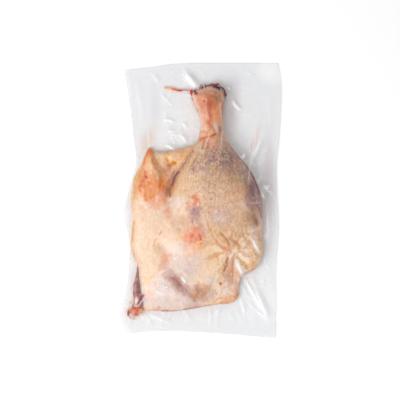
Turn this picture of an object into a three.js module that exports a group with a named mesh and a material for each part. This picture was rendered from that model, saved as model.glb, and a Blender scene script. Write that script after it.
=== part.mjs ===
// A raw duck leg in a clear vacuum pouch. The pouch lies flat with the skin side of the leg up.
// The vacuum draws the film tight, so the sealed pouch is one solid: a thin wavy border of film round
// the form of the leg. +Y runs from the thigh to the hock joint, +X to the right, +Z up from the table.
// All sizes are in millimetres.
import * as THREE from "three";

// The film. In the border its two layers, with the juice between them, count as one thickness.
const BORDER = { thickness: 1.2, height: 2.2 }; // height of the middle of its waves above the table
const SEAL = { width: 8, fade: 4, thinning: 0.3 }; // the welded band along the pouch's edges
const COVER = { thickness: 0.5, fade: 4 }; // over the meat, and the depth at which it is down to that
const SHOULDER = 9; // how far the film takes to come down from the side of the meat
const FILLET = { rise: 1.6, reach: 2.6 }; // film that spans the corner between the border and the meat

// The meat's sides. Heights and widths grow with the height of the meat beside them.
const THINNEST_MEAT = 6; // the edge of the skin flap, before its side is rounded
const RIM = { base: 1.8, growth: 0.22 }; // height of the line where the upper and the lower film meet
const UPPER_ROUND = { growth: 0.55, least: 5, most: 19 }; // width of the rounding above that line
const LOWER_ROUND = { base: 2, growth: 1.1 }; // width of the rounding below it, from the line's own height
const RELIEF_FADE = 5; // creases and ridges fade out over this depth towards the side

// How finely the faces divide the pouch
const CELLS_ACROSS = 44; // even, as the underside has half as many
const CELLS_ALONG = 76;
const OUTLINE_STEPS = 320;
// A corner of the grid moves onto the leg's outline if it is nearer than this share of a cell
const SNAP = { fromInside: 0.66, fromOutside: 0.3 };

// The pouch's four edges seen from above. The sides pull in where the film rises over the meat.
const TOP_EDGE = [[-72.5, 124], [-48, 126.5], [-21.5, 130], [28, 131], [74, 130.5]];
const RIGHT_EDGE = [
  [74, 130.5], [77, 109.5], [75.5, 66.5], [72.5, 33.5], [73, 5],
  [74.5, -26.5], [72, -61.5], [72, -95], [71.5, -131],
];
const BOTTOM_EDGE = [[-69, -127], [-48, -125], [-15, -125], [13.5, -126.5], [71.5, -131]];
const LEFT_EDGE = [
  [-72.5, 124], [-67.5, 90.5], [-63.5, 57], [-61.5, 36.5], [-66.5, 16.5], [-73, -10],
  [-69, -32], [-67.5, -49], [-70, -80.5], [-77, -110], [-69, -127],
];

// The leg's outline seen from above, clockwise from the top of the hock joint
const LEG_OUTLINE = [
  ...[[6, 108], [12.5, 110], [24, 104], [22, 90.5], [21, 76]], // hock joint and right side of the shank
  ...[[22.5, 63], [33.5, 45], [47.5, 28], [57, 6], [59, -8], [58.5, -38]], // outer side of the calf
  ...[[59.5, -47.5], [57, -57.5], [52, -65], [38.5, -73]], // lobes of skin under the calf
  ...[[36.5, -85.5], [35, -93], [29.5, -97.5], [13.5, -99.5], [-15, -104.5]], // lower corner
  ...[[-31, -106], [-46, -105.5], [-57, -107.5], [-64, -110], [-69.5, -108.5]], // lower edge, bloody scrap
  ...[[-70, -104], [-66, -101.5], [-64, -97.5], [-64.5, -87], [-63.5, -75], [-60, -62.5]], // lean meat
  ...[[-64, -53], [-66.5, -43.5], [-65, -17], [-66.5, -3.5], [-63.5, 21], [-58.5, 31]], // flap of skin
  ...[[-48.5, 50.5], [-46, 47.5], [-40.5, 46], [-21.5, 48.5], [-11, 51.5], [-4, 55]], // its peak, saddle
  ...[[-0.5, 71.5], [-1.5, 80], [-5, 87.5], [-9.5, 100.5], [-7.5, 104.5], [-1, 106]], // shank's left side
];

// The masses under the skin. A mound has half its height on the ellipse of its radii.
const MOUNDS = {
  calf: { at: [17, 6], radii: [43, 56], height: 35.5, flatness: 1.6 },
  shank: { at: [10, 80], radii: [16, 34], height: 20.5, flatness: 2.5 },
  hock: { at: [8, 99], radii: [18, 11], height: 20, flatness: 2 },
  thigh: { at: [-14, -36], radii: [36, 37], height: 27, flatness: 1.4 },
  lowerThigh: { at: [-10, -82], radii: [48, 24], height: 14, flatness: 1.8 },
  flap: { at: [-46, -25], radii: [26, 62], height: 12, flatness: 2 },
  foldedCorner: { at: [-49, 22], radii: [16, 24], height: 12, flatness: 1.6 },
  saddle: { at: [-24, 40], radii: [32, 17], height: 9.5, flatness: 2 },
  skinLobes: { at: [42, -50], radii: [24, 26], height: 18, flatness: 1.6 },
};
const BLEND = 4; // exponent of the mean that joins the mounds

// Creases and ridges of the meat along short paths. A negative rise cuts in.
const MEAT_LINES = {
  calfCrease: {
    path: [[-4, 53], [-13, 38], [-21, 28.5], [-26.5, 18], [-29.5, 8], [-29, -1], [-26, -12]],
    rise: -8, width: 4.2,
  },
  peakRidge: { path: [[-48.5, 52], [-48.5, 38], [-45.5, 27], [-40.5, 14], [-38, 6]], rise: 6, width: 4.6 },
  lowerDent: { path: [[-34, -66], [-24, -75], [-15, -83], [-6, -91]], rise: -4, width: 4.6 },
  lowerBump: { path: [[3, -77], [11, -80]], rise: 2.6, width: 5.5 },
  kneeBump: { path: [[-29, -2], [-22, -7]], rise: 2.2, width: 5.5 },
  shankGroove: { path: [[9, 92], [10, 80], [9, 70], [12, 62]], rise: -1.4, width: 3.4 },
  skinFoldUpper: { path: [[13, -33], [25, -44], [34, -52]], rise: -2.4, width: 3.2 },
  skinFoldLower: { path: [[26, -58], [28, -70], [27, -84]], rise: -2.6, width: 3.2 },
  skinFoldRight: { path: [[33, -50], [41, -60], [50, -66]], rise: -3, width: 3.4 },
  skinFoldOuter: { path: [[44, -33], [50, -43], [57, -54]], rise: -2.4, width: 3 },
  thighHollow: { path: [[-6, -9], [-4, -22], [4, -31]], rise: -2, width: 5 },
};

// Folds of the film in the border
const FILM_FOLDS = {
  hockLeft: { path: [[-2, 108], [-9, 116], [-16, 123]], rise: 2.4, width: 3.4 },
  peakTent: { path: [[-48.5, 48], [-49.5, 58], [-51, 66]], rise: 2.6, width: 4 },
  saddleFold: { path: [[-47, 64], [-34, 66], [-20, 62], [-10, 54]], rise: 2.2, width: 3.6 },
  shoulderFold: { path: [[47, 29], [52, 45], [57, 62], [60, 80]], rise: 2.6, width: 3.6 },
  rightFold: { path: [[61, 18], [64, -5], [65, -28], [63, -52]], rise: 2.2, width: 3.4 },
  cornerFoldInner: { path: [[37, -79], [45, -96], [52, -117]], rise: 2.4, width: 3.4 },
  cornerFoldOuter: { path: [[42, -73], [55, -93], [66, -114]], rise: 2.2, width: 3.4 },
  lowerLeftFold: { path: [[-54, -108], [-44, -113], [-32, -117]], rise: 1.8, width: 3.6 },
};
const LINE_END = 0.04; // share of a path at each end where a crease or fold keeps its least height

// Long waves of the border: its height changes as the sine of x / acrossX + y / alongY + phase
const BORDER_WAVES = [
  { height: 0.75, acrossX: 23, alongY: 41, phase: 0 },
  { height: 0.75, acrossX: -37, alongY: 29, phase: Math.PI / 2 },
];

// Corners of the pouch that curl up from the table
const CURLS = {
  topLeft: { at: [-76, 128], rise: 2.4, reach: 26 },
  bottomLeft: { at: [-78, -116], rise: 3, reach: 24 },
  bottomRight: { at: [73, -133], rise: 2, reach: 26 },
};

const { clamp } = THREE.MathUtils;
const smoothStep = (t) => THREE.MathUtils.smoothstep(t, 0, 1);
const vectors = (points) => points.map(([x, y]) => new THREE.Vector2(x, y));
const total = (items, valueOf) => Object.values(items).reduce((sum, item) => sum + valueOf(item), 0);

// The closed smooth line through the points, as a polygon of even steps
function closedOutline(points, steps) {
  const corners = points.map(([x, y]) => new THREE.Vector3(x, y, 0));
  return new THREE.CatmullRomCurve3(corners, true, "centripetal").getSpacedPoints(steps).slice(0, -1);
}

const outline = closedOutline(LEG_OUTLINE, OUTLINE_STEPS);

// Distance from a point to one straight stretch, and how far along it the nearest point lies
function toStretch(x, y, a, b) {
  const [dx, dy] = [b.x - a.x, b.y - a.y];
  const share = clamp(((x - a.x) * dx + (y - a.y) * dy) / (dx * dx + dy * dy), 0, 1);
  return { distance: Math.hypot(x - a.x - share * dx, y - a.y - share * dy), share };
}

// Distance from the leg's outline: positive inside it, negative outside
function inside(x, y) {
  let nearest = Infinity;
  let within = false;
  outline.forEach((a, i) => {
    const b = outline[(i + 1) % outline.length];
    nearest = Math.min(nearest, toStretch(x, y, a, b).distance);
    if (a.y > y !== b.y > y && x < a.x + ((y - a.y) / (b.y - a.y)) * (b.x - a.x)) within = !within;
  });
  return within ? nearest : -nearest;
}

// The rise of a crease, ridge or fold at a point. It fades out towards both ends of its path.
function lineRise({ path, rise, width }, x, y) {
  const corners = vectors(path);
  const stretches = corners.length - 1;
  let best = { distance: Infinity, share: 0 };
  for (let i = 0; i < stretches; i++) {
    const { distance, share } = toStretch(x, y, corners[i], corners[i + 1]);
    if (distance < best.distance) best = { distance, share: (i + share) / stretches };
  }
  const fade = Math.sqrt(Math.sin(Math.PI * clamp(best.share, LINE_END, 1 - LINE_END)));
  return rise * fade * Math.exp(-((best.distance / width) ** 2));
}

// Height of the meat's masses above the table, before the sides are rounded
function massHeight(x, y) {
  const sum = total(MOUNDS, ({ at, radii, height, flatness }) => {
    const q = ((x - at[0]) / radii[0]) ** 2 + ((y - at[1]) / radii[1]) ** 2;
    return (height * 2 ** -(q ** flatness)) ** BLEND;
  });
  return (sum + THINNEST_MEAT ** BLEND) ** (1 / BLEND);
}

// Height of the line round the meat where the upper and the lower film meet
const rimHeight = (mass) => RIM.base + RIM.growth * mass;

// A quarter circle that rises from 0 at the rim to 1 at the given width
function rounded(distance, width) {
  return Math.sqrt(1 - (1 - clamp(distance / width, 0, 1)) ** 2);
}

// Height of the middle of the border, between its two films
function borderMiddle(x, y, outside, rim) {
  const waves = total(BORDER_WAVES, (wave) => {
    return wave.height * Math.sin(x / wave.acrossX + y / wave.alongY + wave.phase);
  });
  const curls = total(CURLS, ({ at, rise, reach }) => {
    return rise * Math.exp(-((x - at[0]) ** 2 + (y - at[1]) ** 2) / reach ** 2);
  });
  const flat = BORDER.height + waves + curls;
  return flat + (rim - flat) * Math.exp(-((outside / SHOULDER) ** 2));
}

// Half the thickness of the border, less in the welded band near an edge
function halfBorder(edgeDistance) {
  const welded = 1 - smoothStep(0.5 + (edgeDistance - SEAL.width) / SEAL.fade);
  return (BORDER.thickness - SEAL.thinning * welded) / 2;
}

// Outer face of the upper film
function upperFilm(x, y, edgeDistance) {
  const depth = inside(x, y);
  const mass = massHeight(x, y);
  const rim = rimHeight(mass);
  const fillet = FILLET.rise * Math.exp(-Math.abs(depth) / FILLET.reach);
  if (depth < 0) {
    const folds = total(FILM_FOLDS, (fold) => lineRise(fold, x, y)) * smoothStep(edgeDistance / SEAL.width);
    return borderMiddle(x, y, -depth, rim) + halfBorder(edgeDistance) + fillet + folds;
  }
  const sideWidth = clamp(UPPER_ROUND.growth * mass, UPPER_ROUND.least, UPPER_ROUND.most);
  const relief = total(MEAT_LINES, (line) => lineRise(line, x, y)) * smoothStep(depth / RELIEF_FADE);
  const cover = THREE.MathUtils.lerp(BORDER.thickness / 2, COVER.thickness, smoothStep(depth / COVER.fade));
  return rim + (mass - rim) * rounded(depth, sideWidth) + relief + cover + fillet;
}

// Outer face of the lower film, flat on the table under the meat
function lowerFilm(x, y, edgeDistance) {
  const depth = inside(x, y);
  const rim = rimHeight(massHeight(x, y));
  if (depth < 0) return borderMiddle(x, y, -depth, rim) - halfBorder(edgeDistance);
  return (rim - BORDER.thickness / 2) * (1 - rounded(depth, LOWER_ROUND.base + LOWER_ROUND.growth * rim));
}

const [topEdge, rightEdge, bottomEdge, leftEdge] = [TOP_EDGE, RIGHT_EDGE, BOTTOM_EDGE, LEFT_EDGE].map(
  (points) => new THREE.SplineCurve(vectors(points)),
);

// A point of the pouch between its four curved edges, from its shares across and down
function pouchPoint(across, down) {
  const [top, bottom] = [topEdge.getPointAt(across), bottomEdge.getPointAt(across)];
  const [left, right] = [leftEdge.getPointAt(down), rightEdge.getPointAt(down)];
  const topCorners = topEdge.getPoint(0).lerp(topEdge.getPoint(1), across);
  const bottomCorners = bottomEdge.getPoint(0).lerp(bottomEdge.getPoint(1), across);
  return top.lerp(bottom, down).add(left.lerp(right, across)).sub(topCorners.lerp(bottomCorners, down));
}

// Distance from a point to the pouch's nearest edge, measured along the grid
function toEdge(p, across, down) {
  const sides = [leftEdge, rightEdge].map((edge) => edge.getPointAt(down));
  const ends = [topEdge, bottomEdge].map((edge) => edge.getPointAt(across));
  return Math.min(...[...sides, ...ends].map((point) => point.distanceTo(p)));
}

// A grid corner, moved onto the leg's outline if it is close to it, so that edges of faces follow the side
function snappedPoint(across, down, cellsAcross) {
  const p = pouchPoint(across, down);
  if (across === 0 || down === 0 || across === 1 || down === 1) return p;
  const cell = pouchPoint(across + 1 / cellsAcross, down).distanceTo(p);
  const depth = inside(p.x, p.y);
  if (Math.abs(depth) > (depth > 0 ? SNAP.fromInside : SNAP.fromOutside) * cell) return p;
  const step = 0.01;
  const slope = new THREE.Vector2(inside(p.x + step, p.y) - depth, inside(p.x, p.y + step) - depth);
  return p.addScaledVector(slope.normalize(), -depth);
}

// The corners and faces of a closed surface while it is put together
class Surface {
  vertices = [];
  faces = [];

  // Adds the corner of a film at a point, and gives its number
  addCorner(p, across, down, film) {
    return this.vertices.push(new THREE.Vector3(p.x, p.y, film(p.x, p.y, toEdge(p, across, down)))) - 1;
  }

  // Adds a four-sided cell, cut along the diagonal that changes height least
  addCell(a, b, c, d) {
    const climb = (i, j) => Math.abs(this.vertices[i].z - this.vertices[j].z);
    this.faces.push(...(climb(a, c) < climb(b, d) ? [a, b, c, a, c, d] : [a, b, d, b, c, d]));
  }

  // Adds a cell with any number of corners, cut from its middle
  addFan(middle, ring) {
    ring.forEach((corner, i) => this.faces.push(middle, corner, ring[(i + 1) % ring.length]));
  }
}

// Adds the upper film. The returned function gives the number of a grid corner.
function addUpperFilm(surface) {
  const corner = (column, row) => row * (CELLS_ACROSS + 1) + column;
  for (let row = 0; row <= CELLS_ALONG; row++) {
    for (let column = 0; column <= CELLS_ACROSS; column++) {
      const [across, down] = [column / CELLS_ACROSS, row / CELLS_ALONG];
      surface.addCorner(snappedPoint(across, down, CELLS_ACROSS), across, down, upperFilm);
    }
  }
  for (let row = 0; row < CELLS_ALONG; row++) {
    for (let column = 0; column < CELLS_ACROSS; column++) {
      surface.addCell(
        corner(column, row), corner(column, row + 1), corner(column + 1, row + 1), corner(column + 1, row),
      );
    }
  }
  return corner;
}

// Adds the lower film, in cells twice as large, with every corner of the upper film along the pouch's edges
function addLowerFilm(surface) {
  const numbers = new Map();
  const corner = (column, row) => {
    const key = `${column},${row}`;
    if (!numbers.has(key)) {
      const [across, down] = [column / CELLS_ACROSS, row / CELLS_ALONG];
      const p = snappedPoint(across, down, CELLS_ACROSS / 2);
      numbers.set(key, surface.addCorner(p, across, down, lowerFilm));
    }
    return numbers.get(key);
  };
  for (let row = 0; row < CELLS_ALONG; row += 2) {
    for (let column = 0; column < CELLS_ACROSS; column += 2) {
      // The cell's corners, with the middle of each side that lies on the pouch's edge
      const ring = [
        [column, row], row === 0 && [column + 1, row],
        [column + 2, row], column + 2 === CELLS_ACROSS && [column + 2, row + 1],
        [column + 2, row + 2], row + 2 === CELLS_ALONG && [column + 1, row + 2],
        [column, row + 2], column === 0 && [column, row + 1],
      ].filter(Boolean).map(([x, y]) => corner(x, y));
      if (ring.length === 4) {
        surface.addCell(...ring);
        continue;
      }
      const [across, down] = [(column + 1) / CELLS_ACROSS, (row + 1) / CELLS_ALONG];
      surface.addFan(surface.addCorner(pouchPoint(across, down), across, down, lowerFilm), ring);
    }
  }
  return corner;
}

// Joins the two films along the pouch's cut edge
function addCutEdge(surface, upper, lower) {
  const edge = [];
  for (let column = 0; column < CELLS_ACROSS; column++) edge.push([column, 0]);
  for (let row = 0; row < CELLS_ALONG; row++) edge.push([CELLS_ACROSS, row]);
  for (let column = CELLS_ACROSS; column > 0; column--) edge.push([column, CELLS_ALONG]);
  for (let row = CELLS_ALONG; row > 0; row--) edge.push([0, row]);
  edge.forEach((here, i) => {
    const next = edge[(i + 1) % edge.length];
    surface.addCell(upper(...here), upper(...next), lower(...next), lower(...here));
  });
}

// The sealed pouch, with the origin under the middle of its outline
function pouchGeometry() {
  const surface = new Surface();
  const upper = addUpperFilm(surface);
  const lower = addLowerFilm(surface);
  addCutEdge(surface, upper, lower);
  const geometry = new THREE.BufferGeometry().setFromPoints(surface.vertices);
  geometry.setIndex(surface.faces);
  geometry.computeBoundingBox();
  const centre = geometry.boundingBox.getCenter(new THREE.Vector3());
  geometry.translate(-centre.x, -centre.y, -geometry.boundingBox.min.z);
  geometry.computeVertexNormals();
  return geometry;
}

const filmOverSkin = new THREE.MeshStandardMaterial({ color: 0xe9c6a6, roughness: 0.25, metalness: 0 });
const pouch = new THREE.Mesh(pouchGeometry(), filmOverSkin);
pouch.name = "vacuum_pouch";

const part = new THREE.Group();
part.add(pouch);

export default part;
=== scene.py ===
"""A raw duck leg in a clear vacuum pouch: the film, and all that it holds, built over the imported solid.

Shapes are worked out in millimetres, in the solid's own frame: +Y runs from the thigh to the hock joint,
+X to the right and +Z up from the table. MM turns them into Blender's metres.
"""
import math
from collections import namedtuple

import bmesh
import bpy
import numpy as np
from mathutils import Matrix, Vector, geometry, kdtree, noise


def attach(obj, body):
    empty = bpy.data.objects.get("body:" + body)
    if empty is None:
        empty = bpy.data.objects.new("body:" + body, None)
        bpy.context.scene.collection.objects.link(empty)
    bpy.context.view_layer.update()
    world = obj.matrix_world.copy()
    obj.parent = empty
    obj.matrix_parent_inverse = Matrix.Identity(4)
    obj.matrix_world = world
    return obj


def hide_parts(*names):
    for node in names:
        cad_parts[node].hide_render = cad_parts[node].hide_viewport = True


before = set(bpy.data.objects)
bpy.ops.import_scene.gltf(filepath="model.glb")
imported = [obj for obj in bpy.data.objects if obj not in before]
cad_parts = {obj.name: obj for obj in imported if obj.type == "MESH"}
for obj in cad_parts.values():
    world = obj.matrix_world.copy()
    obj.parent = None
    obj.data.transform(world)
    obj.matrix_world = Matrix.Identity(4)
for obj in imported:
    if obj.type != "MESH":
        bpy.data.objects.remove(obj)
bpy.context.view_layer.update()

MM = 0.001
NODE = "vacuum_pouch"
BODY = "root"

# The solid's driving sizes, which this script repeats
BORDER = {"thickness": 1.2, "height": 2.2}
SEAL = {"width": 8, "fade": 4, "thinning": 0.3}
COVER = {"thickness": 0.5, "fade": 4}
SHOULDER = 9
FILLET = {"rise": 1.6, "reach": 2.6}
THINNEST_MEAT = 6
RIM = {"base": 1.8, "growth": 0.22}
UPPER_ROUND = {"growth": 0.55, "least": 5, "most": 19}
LOWER_ROUND = {"base": 2, "growth": 1.1}
RELIEF_FADE = 5
BLEND = 4
LINE_END = 0.04

# The pouch's four edges seen from above
TOP_EDGE = [(-72.5, 124), (-48, 126.5), (-21.5, 130), (28, 131), (74, 130.5)]
RIGHT_EDGE = [
    (74, 130.5), (77, 109.5), (75.5, 66.5), (72.5, 33.5), (73, 5),
    (74.5, -26.5), (72, -61.5), (72, -95), (71.5, -131),
]
BOTTOM_EDGE = [(-69, -127), (-48, -125), (-15, -125), (13.5, -126.5), (71.5, -131)]
LEFT_EDGE = [
    (-72.5, 124), (-67.5, 90.5), (-63.5, 57), (-61.5, 36.5), (-66.5, 16.5), (-73, -10),
    (-69, -32), (-67.5, -49), (-70, -80.5), (-77, -110), (-69, -127),
]

# The outline of all that the pouch holds, clockwise from the top of the hock joint
HOCK_AND_SHANK = [(6, 108), (12.5, 110), (24, 104), (22, 90.5), (21, 76)]
OUTER_SIDE = [(22.5, 63), (33.5, 45), (47.5, 28), (57, 6), (59, -8), (58.5, -38)]
SKIN_LOBES = [(59.5, -47.5), (57, -57.5), (52, -65), (38.5, -73)]
LOWER_CORNER = [(36.5, -85.5), (35, -93), (29.5, -97.5), (13.5, -99.5), (-15, -104.5)]
LOWER_EDGE = [(-31, -106), (-46, -105.5), (-57, -107.5), (-64, -110), (-69.5, -108.5)]
LEAN_SIDE = [(-70, -104), (-66, -101.5), (-64, -97.5), (-64.5, -87), (-63.5, -75), (-60, -62.5)]
FLAP_SIDE = [(-64, -53), (-66.5, -43.5), (-65, -17), (-66.5, -3.5), (-63.5, 21), (-58.5, 31)]
PEAK_AND_SADDLE = [(-48.5, 50.5), (-46, 47.5), (-40.5, 46), (-21.5, 48.5), (-11, 51.5), (-4, 55)]
INNER_SHANK = [(-0.5, 71.5), (-1.5, 80), (-5, 87.5), (-9.5, 100.5), (-7.5, 104.5), (-1, 106)]
CONTENTS_OUTLINE = [
    *HOCK_AND_SHANK, *OUTER_SIDE, *SKIN_LOBES, *LOWER_CORNER, *LOWER_EDGE, *LEAN_SIDE, *FLAP_SIDE,
    *PEAK_AND_SADDLE, *INNER_SHANK,
]
# The skin ends short of the strip of lean meat at the lower left
SKIN_EDGE = [(-46, -105.3), (-53.5, -104), (-55.8, -95), (-57.4, -83.5), (-59.3, -72), (-60, -62.5)]
SKIN_OUTLINE = [
    *HOCK_AND_SHANK, *OUTER_SIDE, *SKIN_LOBES, *LOWER_CORNER, (-31, -106), *SKIN_EDGE, *FLAP_SIDE,
    *PEAK_AND_SADDLE, *INNER_SHANK,
]

Mound = namedtuple("Mound", "at radii height flatness")
MOUNDS = {
    "calf": Mound((17, 6), (43, 56), 35.5, 1.6),
    "shank": Mound((10, 80), (16, 34), 20.5, 2.5),
    "hock": Mound((8, 99), (18, 11), 20, 2),
    "thigh": Mound((-14, -36), (36, 37), 27, 1.4),
    "lower thigh": Mound((-10, -82), (48, 24), 14, 1.8),
    "flap": Mound((-46, -25), (26, 62), 12, 2),
    "folded corner": Mound((-49, 22), (16, 24), 12, 1.6),
    "saddle": Mound((-24, 40), (32, 17), 9.5, 2),
    "skin lobes": Mound((42, -50), (24, 26), 18, 1.6),
}

Line = namedtuple("Line", "path rise width")
MEAT_LINES = {
    "calf crease": Line(
        [(-4, 53), (-13, 38), (-21, 28.5), (-26.5, 18), (-29.5, 8), (-29, -1), (-26, -12)], -8, 4.2
    ),
    "peak ridge": Line([(-48.5, 52), (-48.5, 38), (-45.5, 27), (-40.5, 14), (-38, 6)], 6, 4.6),
    "lower dent": Line([(-34, -66), (-24, -75), (-15, -83), (-6, -91)], -4, 4.6),
    "lower bump": Line([(3, -77), (11, -80)], 2.6, 5.5),
    "knee bump": Line([(-29, -2), (-22, -7)], 2.2, 5.5),
    "shank groove": Line([(9, 92), (10, 80), (9, 70), (12, 62)], -1.4, 3.4),
    "skin fold upper": Line([(13, -33), (25, -44), (34, -52)], -2.4, 3.2),
    "skin fold lower": Line([(26, -58), (28, -70), (27, -84)], -2.6, 3.2),
    "skin fold right": Line([(33, -50), (41, -60), (50, -66)], -3, 3.4),
    "skin fold outer": Line([(44, -33), (50, -43), (57, -54)], -2.4, 3),
    "thigh hollow": Line([(-6, -9), (-4, -22), (4, -31)], -2, 5),
}
FILM_FOLDS = {
    "hock left": Line([(-2, 108), (-9, 116), (-16, 123)], 2.4, 3.4),
    "peak tent": Line([(-48.5, 48), (-49.5, 58), (-51, 66)], 2.6, 4),
    "saddle": Line([(-47, 64), (-34, 66), (-20, 62), (-10, 54)], 2.2, 3.6),
    "shoulder": Line([(47, 29), (52, 45), (57, 62), (60, 80)], 2.6, 3.6),
    "right": Line([(61, 18), (64, -5), (65, -28), (63, -52)], 2.2, 3.4),
    "corner inner": Line([(37, -79), (45, -96), (52, -117)], 2.4, 3.4),
    "corner outer": Line([(42, -73), (55, -93), (66, -114)], 2.2, 3.4),
    "lower left": Line([(-54, -108), (-44, -113), (-32, -117)], 1.8, 3.6),
}
Wave = namedtuple("Wave", "height across_x along_y phase")
BORDER_WAVES = [Wave(0.75, 23, 41, 0), Wave(0.75, -37, 29, math.pi / 2)]
Curl = namedtuple("Curl", "at rise reach")
CURLS = {
    "top left": Curl((-76, 128), 2.4, 26),
    "bottom left": Curl((-78, -116), 3, 24),
    "bottom right": Curl((73, -133), 2, 26),
}

# Finer forms, which only this script has: folds of the skin, and creases of the film
SKIN_FOLDS = {
    "crease floor": Line([(-15, 36), (-21, 28.5), (-26.5, 18), (-29.5, 8), (-29, 0)], -1.6, 2.2),
    "softer ridge": Line([(-48.5, 52), (-48.5, 38), (-45.5, 27), (-40.5, 14), (-38, 6)], -2.6, 4.4),
    "inner wrinkle": Line([(19, -31), (23, -35), (26, -40), (27.5, -42)], -0.9, 1.1),
    "middle wrinkle": Line([(16, -40), (20, -44), (25, -45.5), (30, -47)], -0.9, 1.3),
    "outer wrinkle": Line([(27, -33), (28, -37), (32, -39), (36, -44), (36, -52)], -1.1, 1.4),
    "lobe wrinkle": Line([(39, -23), (40, -30), (42, -34)], -0.7, 1.3),
    "lobe fold": Line([(45, -44), (48, -49), (49, -53)], -0.9, 1.4),
    "side fold": Line([(51, -46), (54, -52), (57, -56)], -0.9, 1.4),
    "pleat left": Line([(26, -53), (25, -58), (23.5, -63), (23, -72)], -1.0, 1.2),
    "pleat middle": Line([(29, -53), (30, -64), (30, -74), (31.5, -82)], -1.1, 1.3),
    "pleat right": Line([(33, -58), (32.5, -68), (34.5, -78), (35.5, -86)], -0.9, 1.2),
    "second wrinkle": Line([(16.4, -33.6), (20.6, -38.6), (26, -40.6)], -0.7, 1.1),
    "streak": Line([(9, -46), (9.8, -56)], -0.5, 1.3),
    "streak right": Line([(16, -48), (17.2, -63)], -0.6, 1.3),
    "thigh line": Line([(4, -15), (7, -23), (9, -29), (12, -35), (15, -39)], -0.3, 1.4),
    "thigh line left": Line([(-5, -15), (-2, -21), (1, -26), (3, -32)], -0.6, 1.6),
    "ankle fold": Line([(-1, 57), (4, 59.5), (8, 60), (13.5, 63)], -1.0, 1.2),
    "ankle tendon": Line([(6, 56), (6.5, 48)], -0.7, 1.1),
    "shank bump": Line([(14.8, 72), (14.8, 66)], 1.1, 1.7),
    "shank hollow": Line([(18, 70), (18, 65)], -0.9, 1.4),
    "ridge strip": Line([(-53, 42), (-53.5, 33), (-52, 24)], -0.8, 1.3),
    "ridge pleat": Line([(-45, 27), (-43, 21), (-41, 15)], -0.7, 1.2),
    "corner pleat": Line([(-38, 18), (-38, 11), (-40, 5)], -0.6, 1.4),
    "corner bump": Line([(-57, 20), (-55, 12)], 0.5, 2.4),
    "dent edge": Line([(-30, -69), (-20, -76), (-12, -84)], -0.9, 1.8),
    "lower ridge": Line([(-29.6, -64.4), (-38, -69), (-46, -75.6)], 0.6, 1.8),
    "dent tail": Line([(-6, -89), (2, -92), (8, -92)], -0.7, 2.2),
    "bump ring": Line([(-2, -76), (-3, -83), (1, -88)], -0.6, 1.8),
}

# Places where the skin is gathered, so that wrinkles run out from them
# Their valleys are painted darker, as painted shade, and their crests lighter, as painted light
Gather = namedtuple("Gather", "at radii ridges rise tint layer")
GATHERS = {
    "under the calf": Gather((31, -49), (3, 46), 21, 0.8, 0.5, 103.5),
    "ankle": Gather((7, 63), (3, 26), 9, 0.4, 0.2, 110.5),
    "peak": Gather((-48.5, 50), (5, 46), 14, 0.5, 0.4, 120.5),
}
GATHER_CONTRAST = 2.6
GATHER_WANDER = {"size": 9, "reach": 2.6, "layer": 130.5, "along": 2.2}

Patch = namedtuple("Patch", "at radii colour strength turn soft", defaults=(1.0, 0, 0.7))
Stroke = namedtuple("Stroke", "path width colour strength", defaults=(0.85,))

# Paints, as display values from 0 to 255. Patches, strokes and lumps name them.
WHITE_FAT = (255, 245, 232)
IVORY = (255, 232, 204)
SHELL = (243, 220, 206)
CREAM = (246, 214, 188)
PARCHMENT = (236, 206, 178)
BUTTER = (254, 220, 186)
MILKY_PINK = (250, 216, 202)
PORCELAIN = (231, 212, 204)
LINEN = (236, 214, 202)
CHALK = (228, 206, 200)
PEACH = (251, 204, 174)
SAND = (234, 198, 164)
STRAW = (250, 203, 152)
APRICOT = (248, 188, 140)
HONEY = (238, 181, 124)
OCHRE = (212, 178, 120)
MUSTARD = (230, 168, 98)
MELON = (244, 166, 122)
PALE_CORAL = (240, 182, 156)
ROSE = (226, 182, 162)
GREY_ROSE = (218, 186, 178)
LILAC = (212, 188, 196)
PINK = (228, 162, 136)
SALMON = (226, 130, 96)
CORAL = (238, 124, 100)
PALE_TAN = (221, 182, 152)
TAN = (215, 172, 140)
DEEP_TAN = (202, 162, 130)
OLIVE = (190, 154, 118)
UMBER = (188, 138, 108)
CLAY = (222, 156, 120)
BRASS = (207, 150, 104)
CINNAMON = (180, 120, 86)
TERRACOTTA = (196, 115, 88)
COCOA = (156, 98, 76)
GREY_TAN = (188, 144, 126)
MAUVE = (196, 156, 146)
DEEP_MAUVE = (170, 122, 118)
GREY_BROWN = (142, 106, 98)
PLUM = (122, 84, 88)
ORANGE = (228, 148, 92)
BRIGHT_ORANGE = (244, 142, 80)
TANGERINE = (224, 132, 62)
DEEP_ORANGE = (222, 114, 34)
BRONZE = (202, 118, 32)
RUST = (212, 110, 72)
EMBER = (202, 84, 34)
DEEP_RUST = (178, 80, 50)
SCARLET = (212, 70, 40)
DULL_RED = (194, 86, 82)
DUSTY_RED = (192, 118, 114)
CRIMSON = (196, 60, 58)
BLOOD = (166, 46, 42)
WINE = (140, 62, 68)
OXBLOOD = (112, 32, 38)
DUSK = (84, 50, 60)
BLACKBERRY = (42, 24, 32)

# Painted shade for the valleys of wrinkles, painted light for their crests
WRINKLE_SHADE = BRASS
WRINKLE_HIGHLIGHT = IVORY
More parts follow.
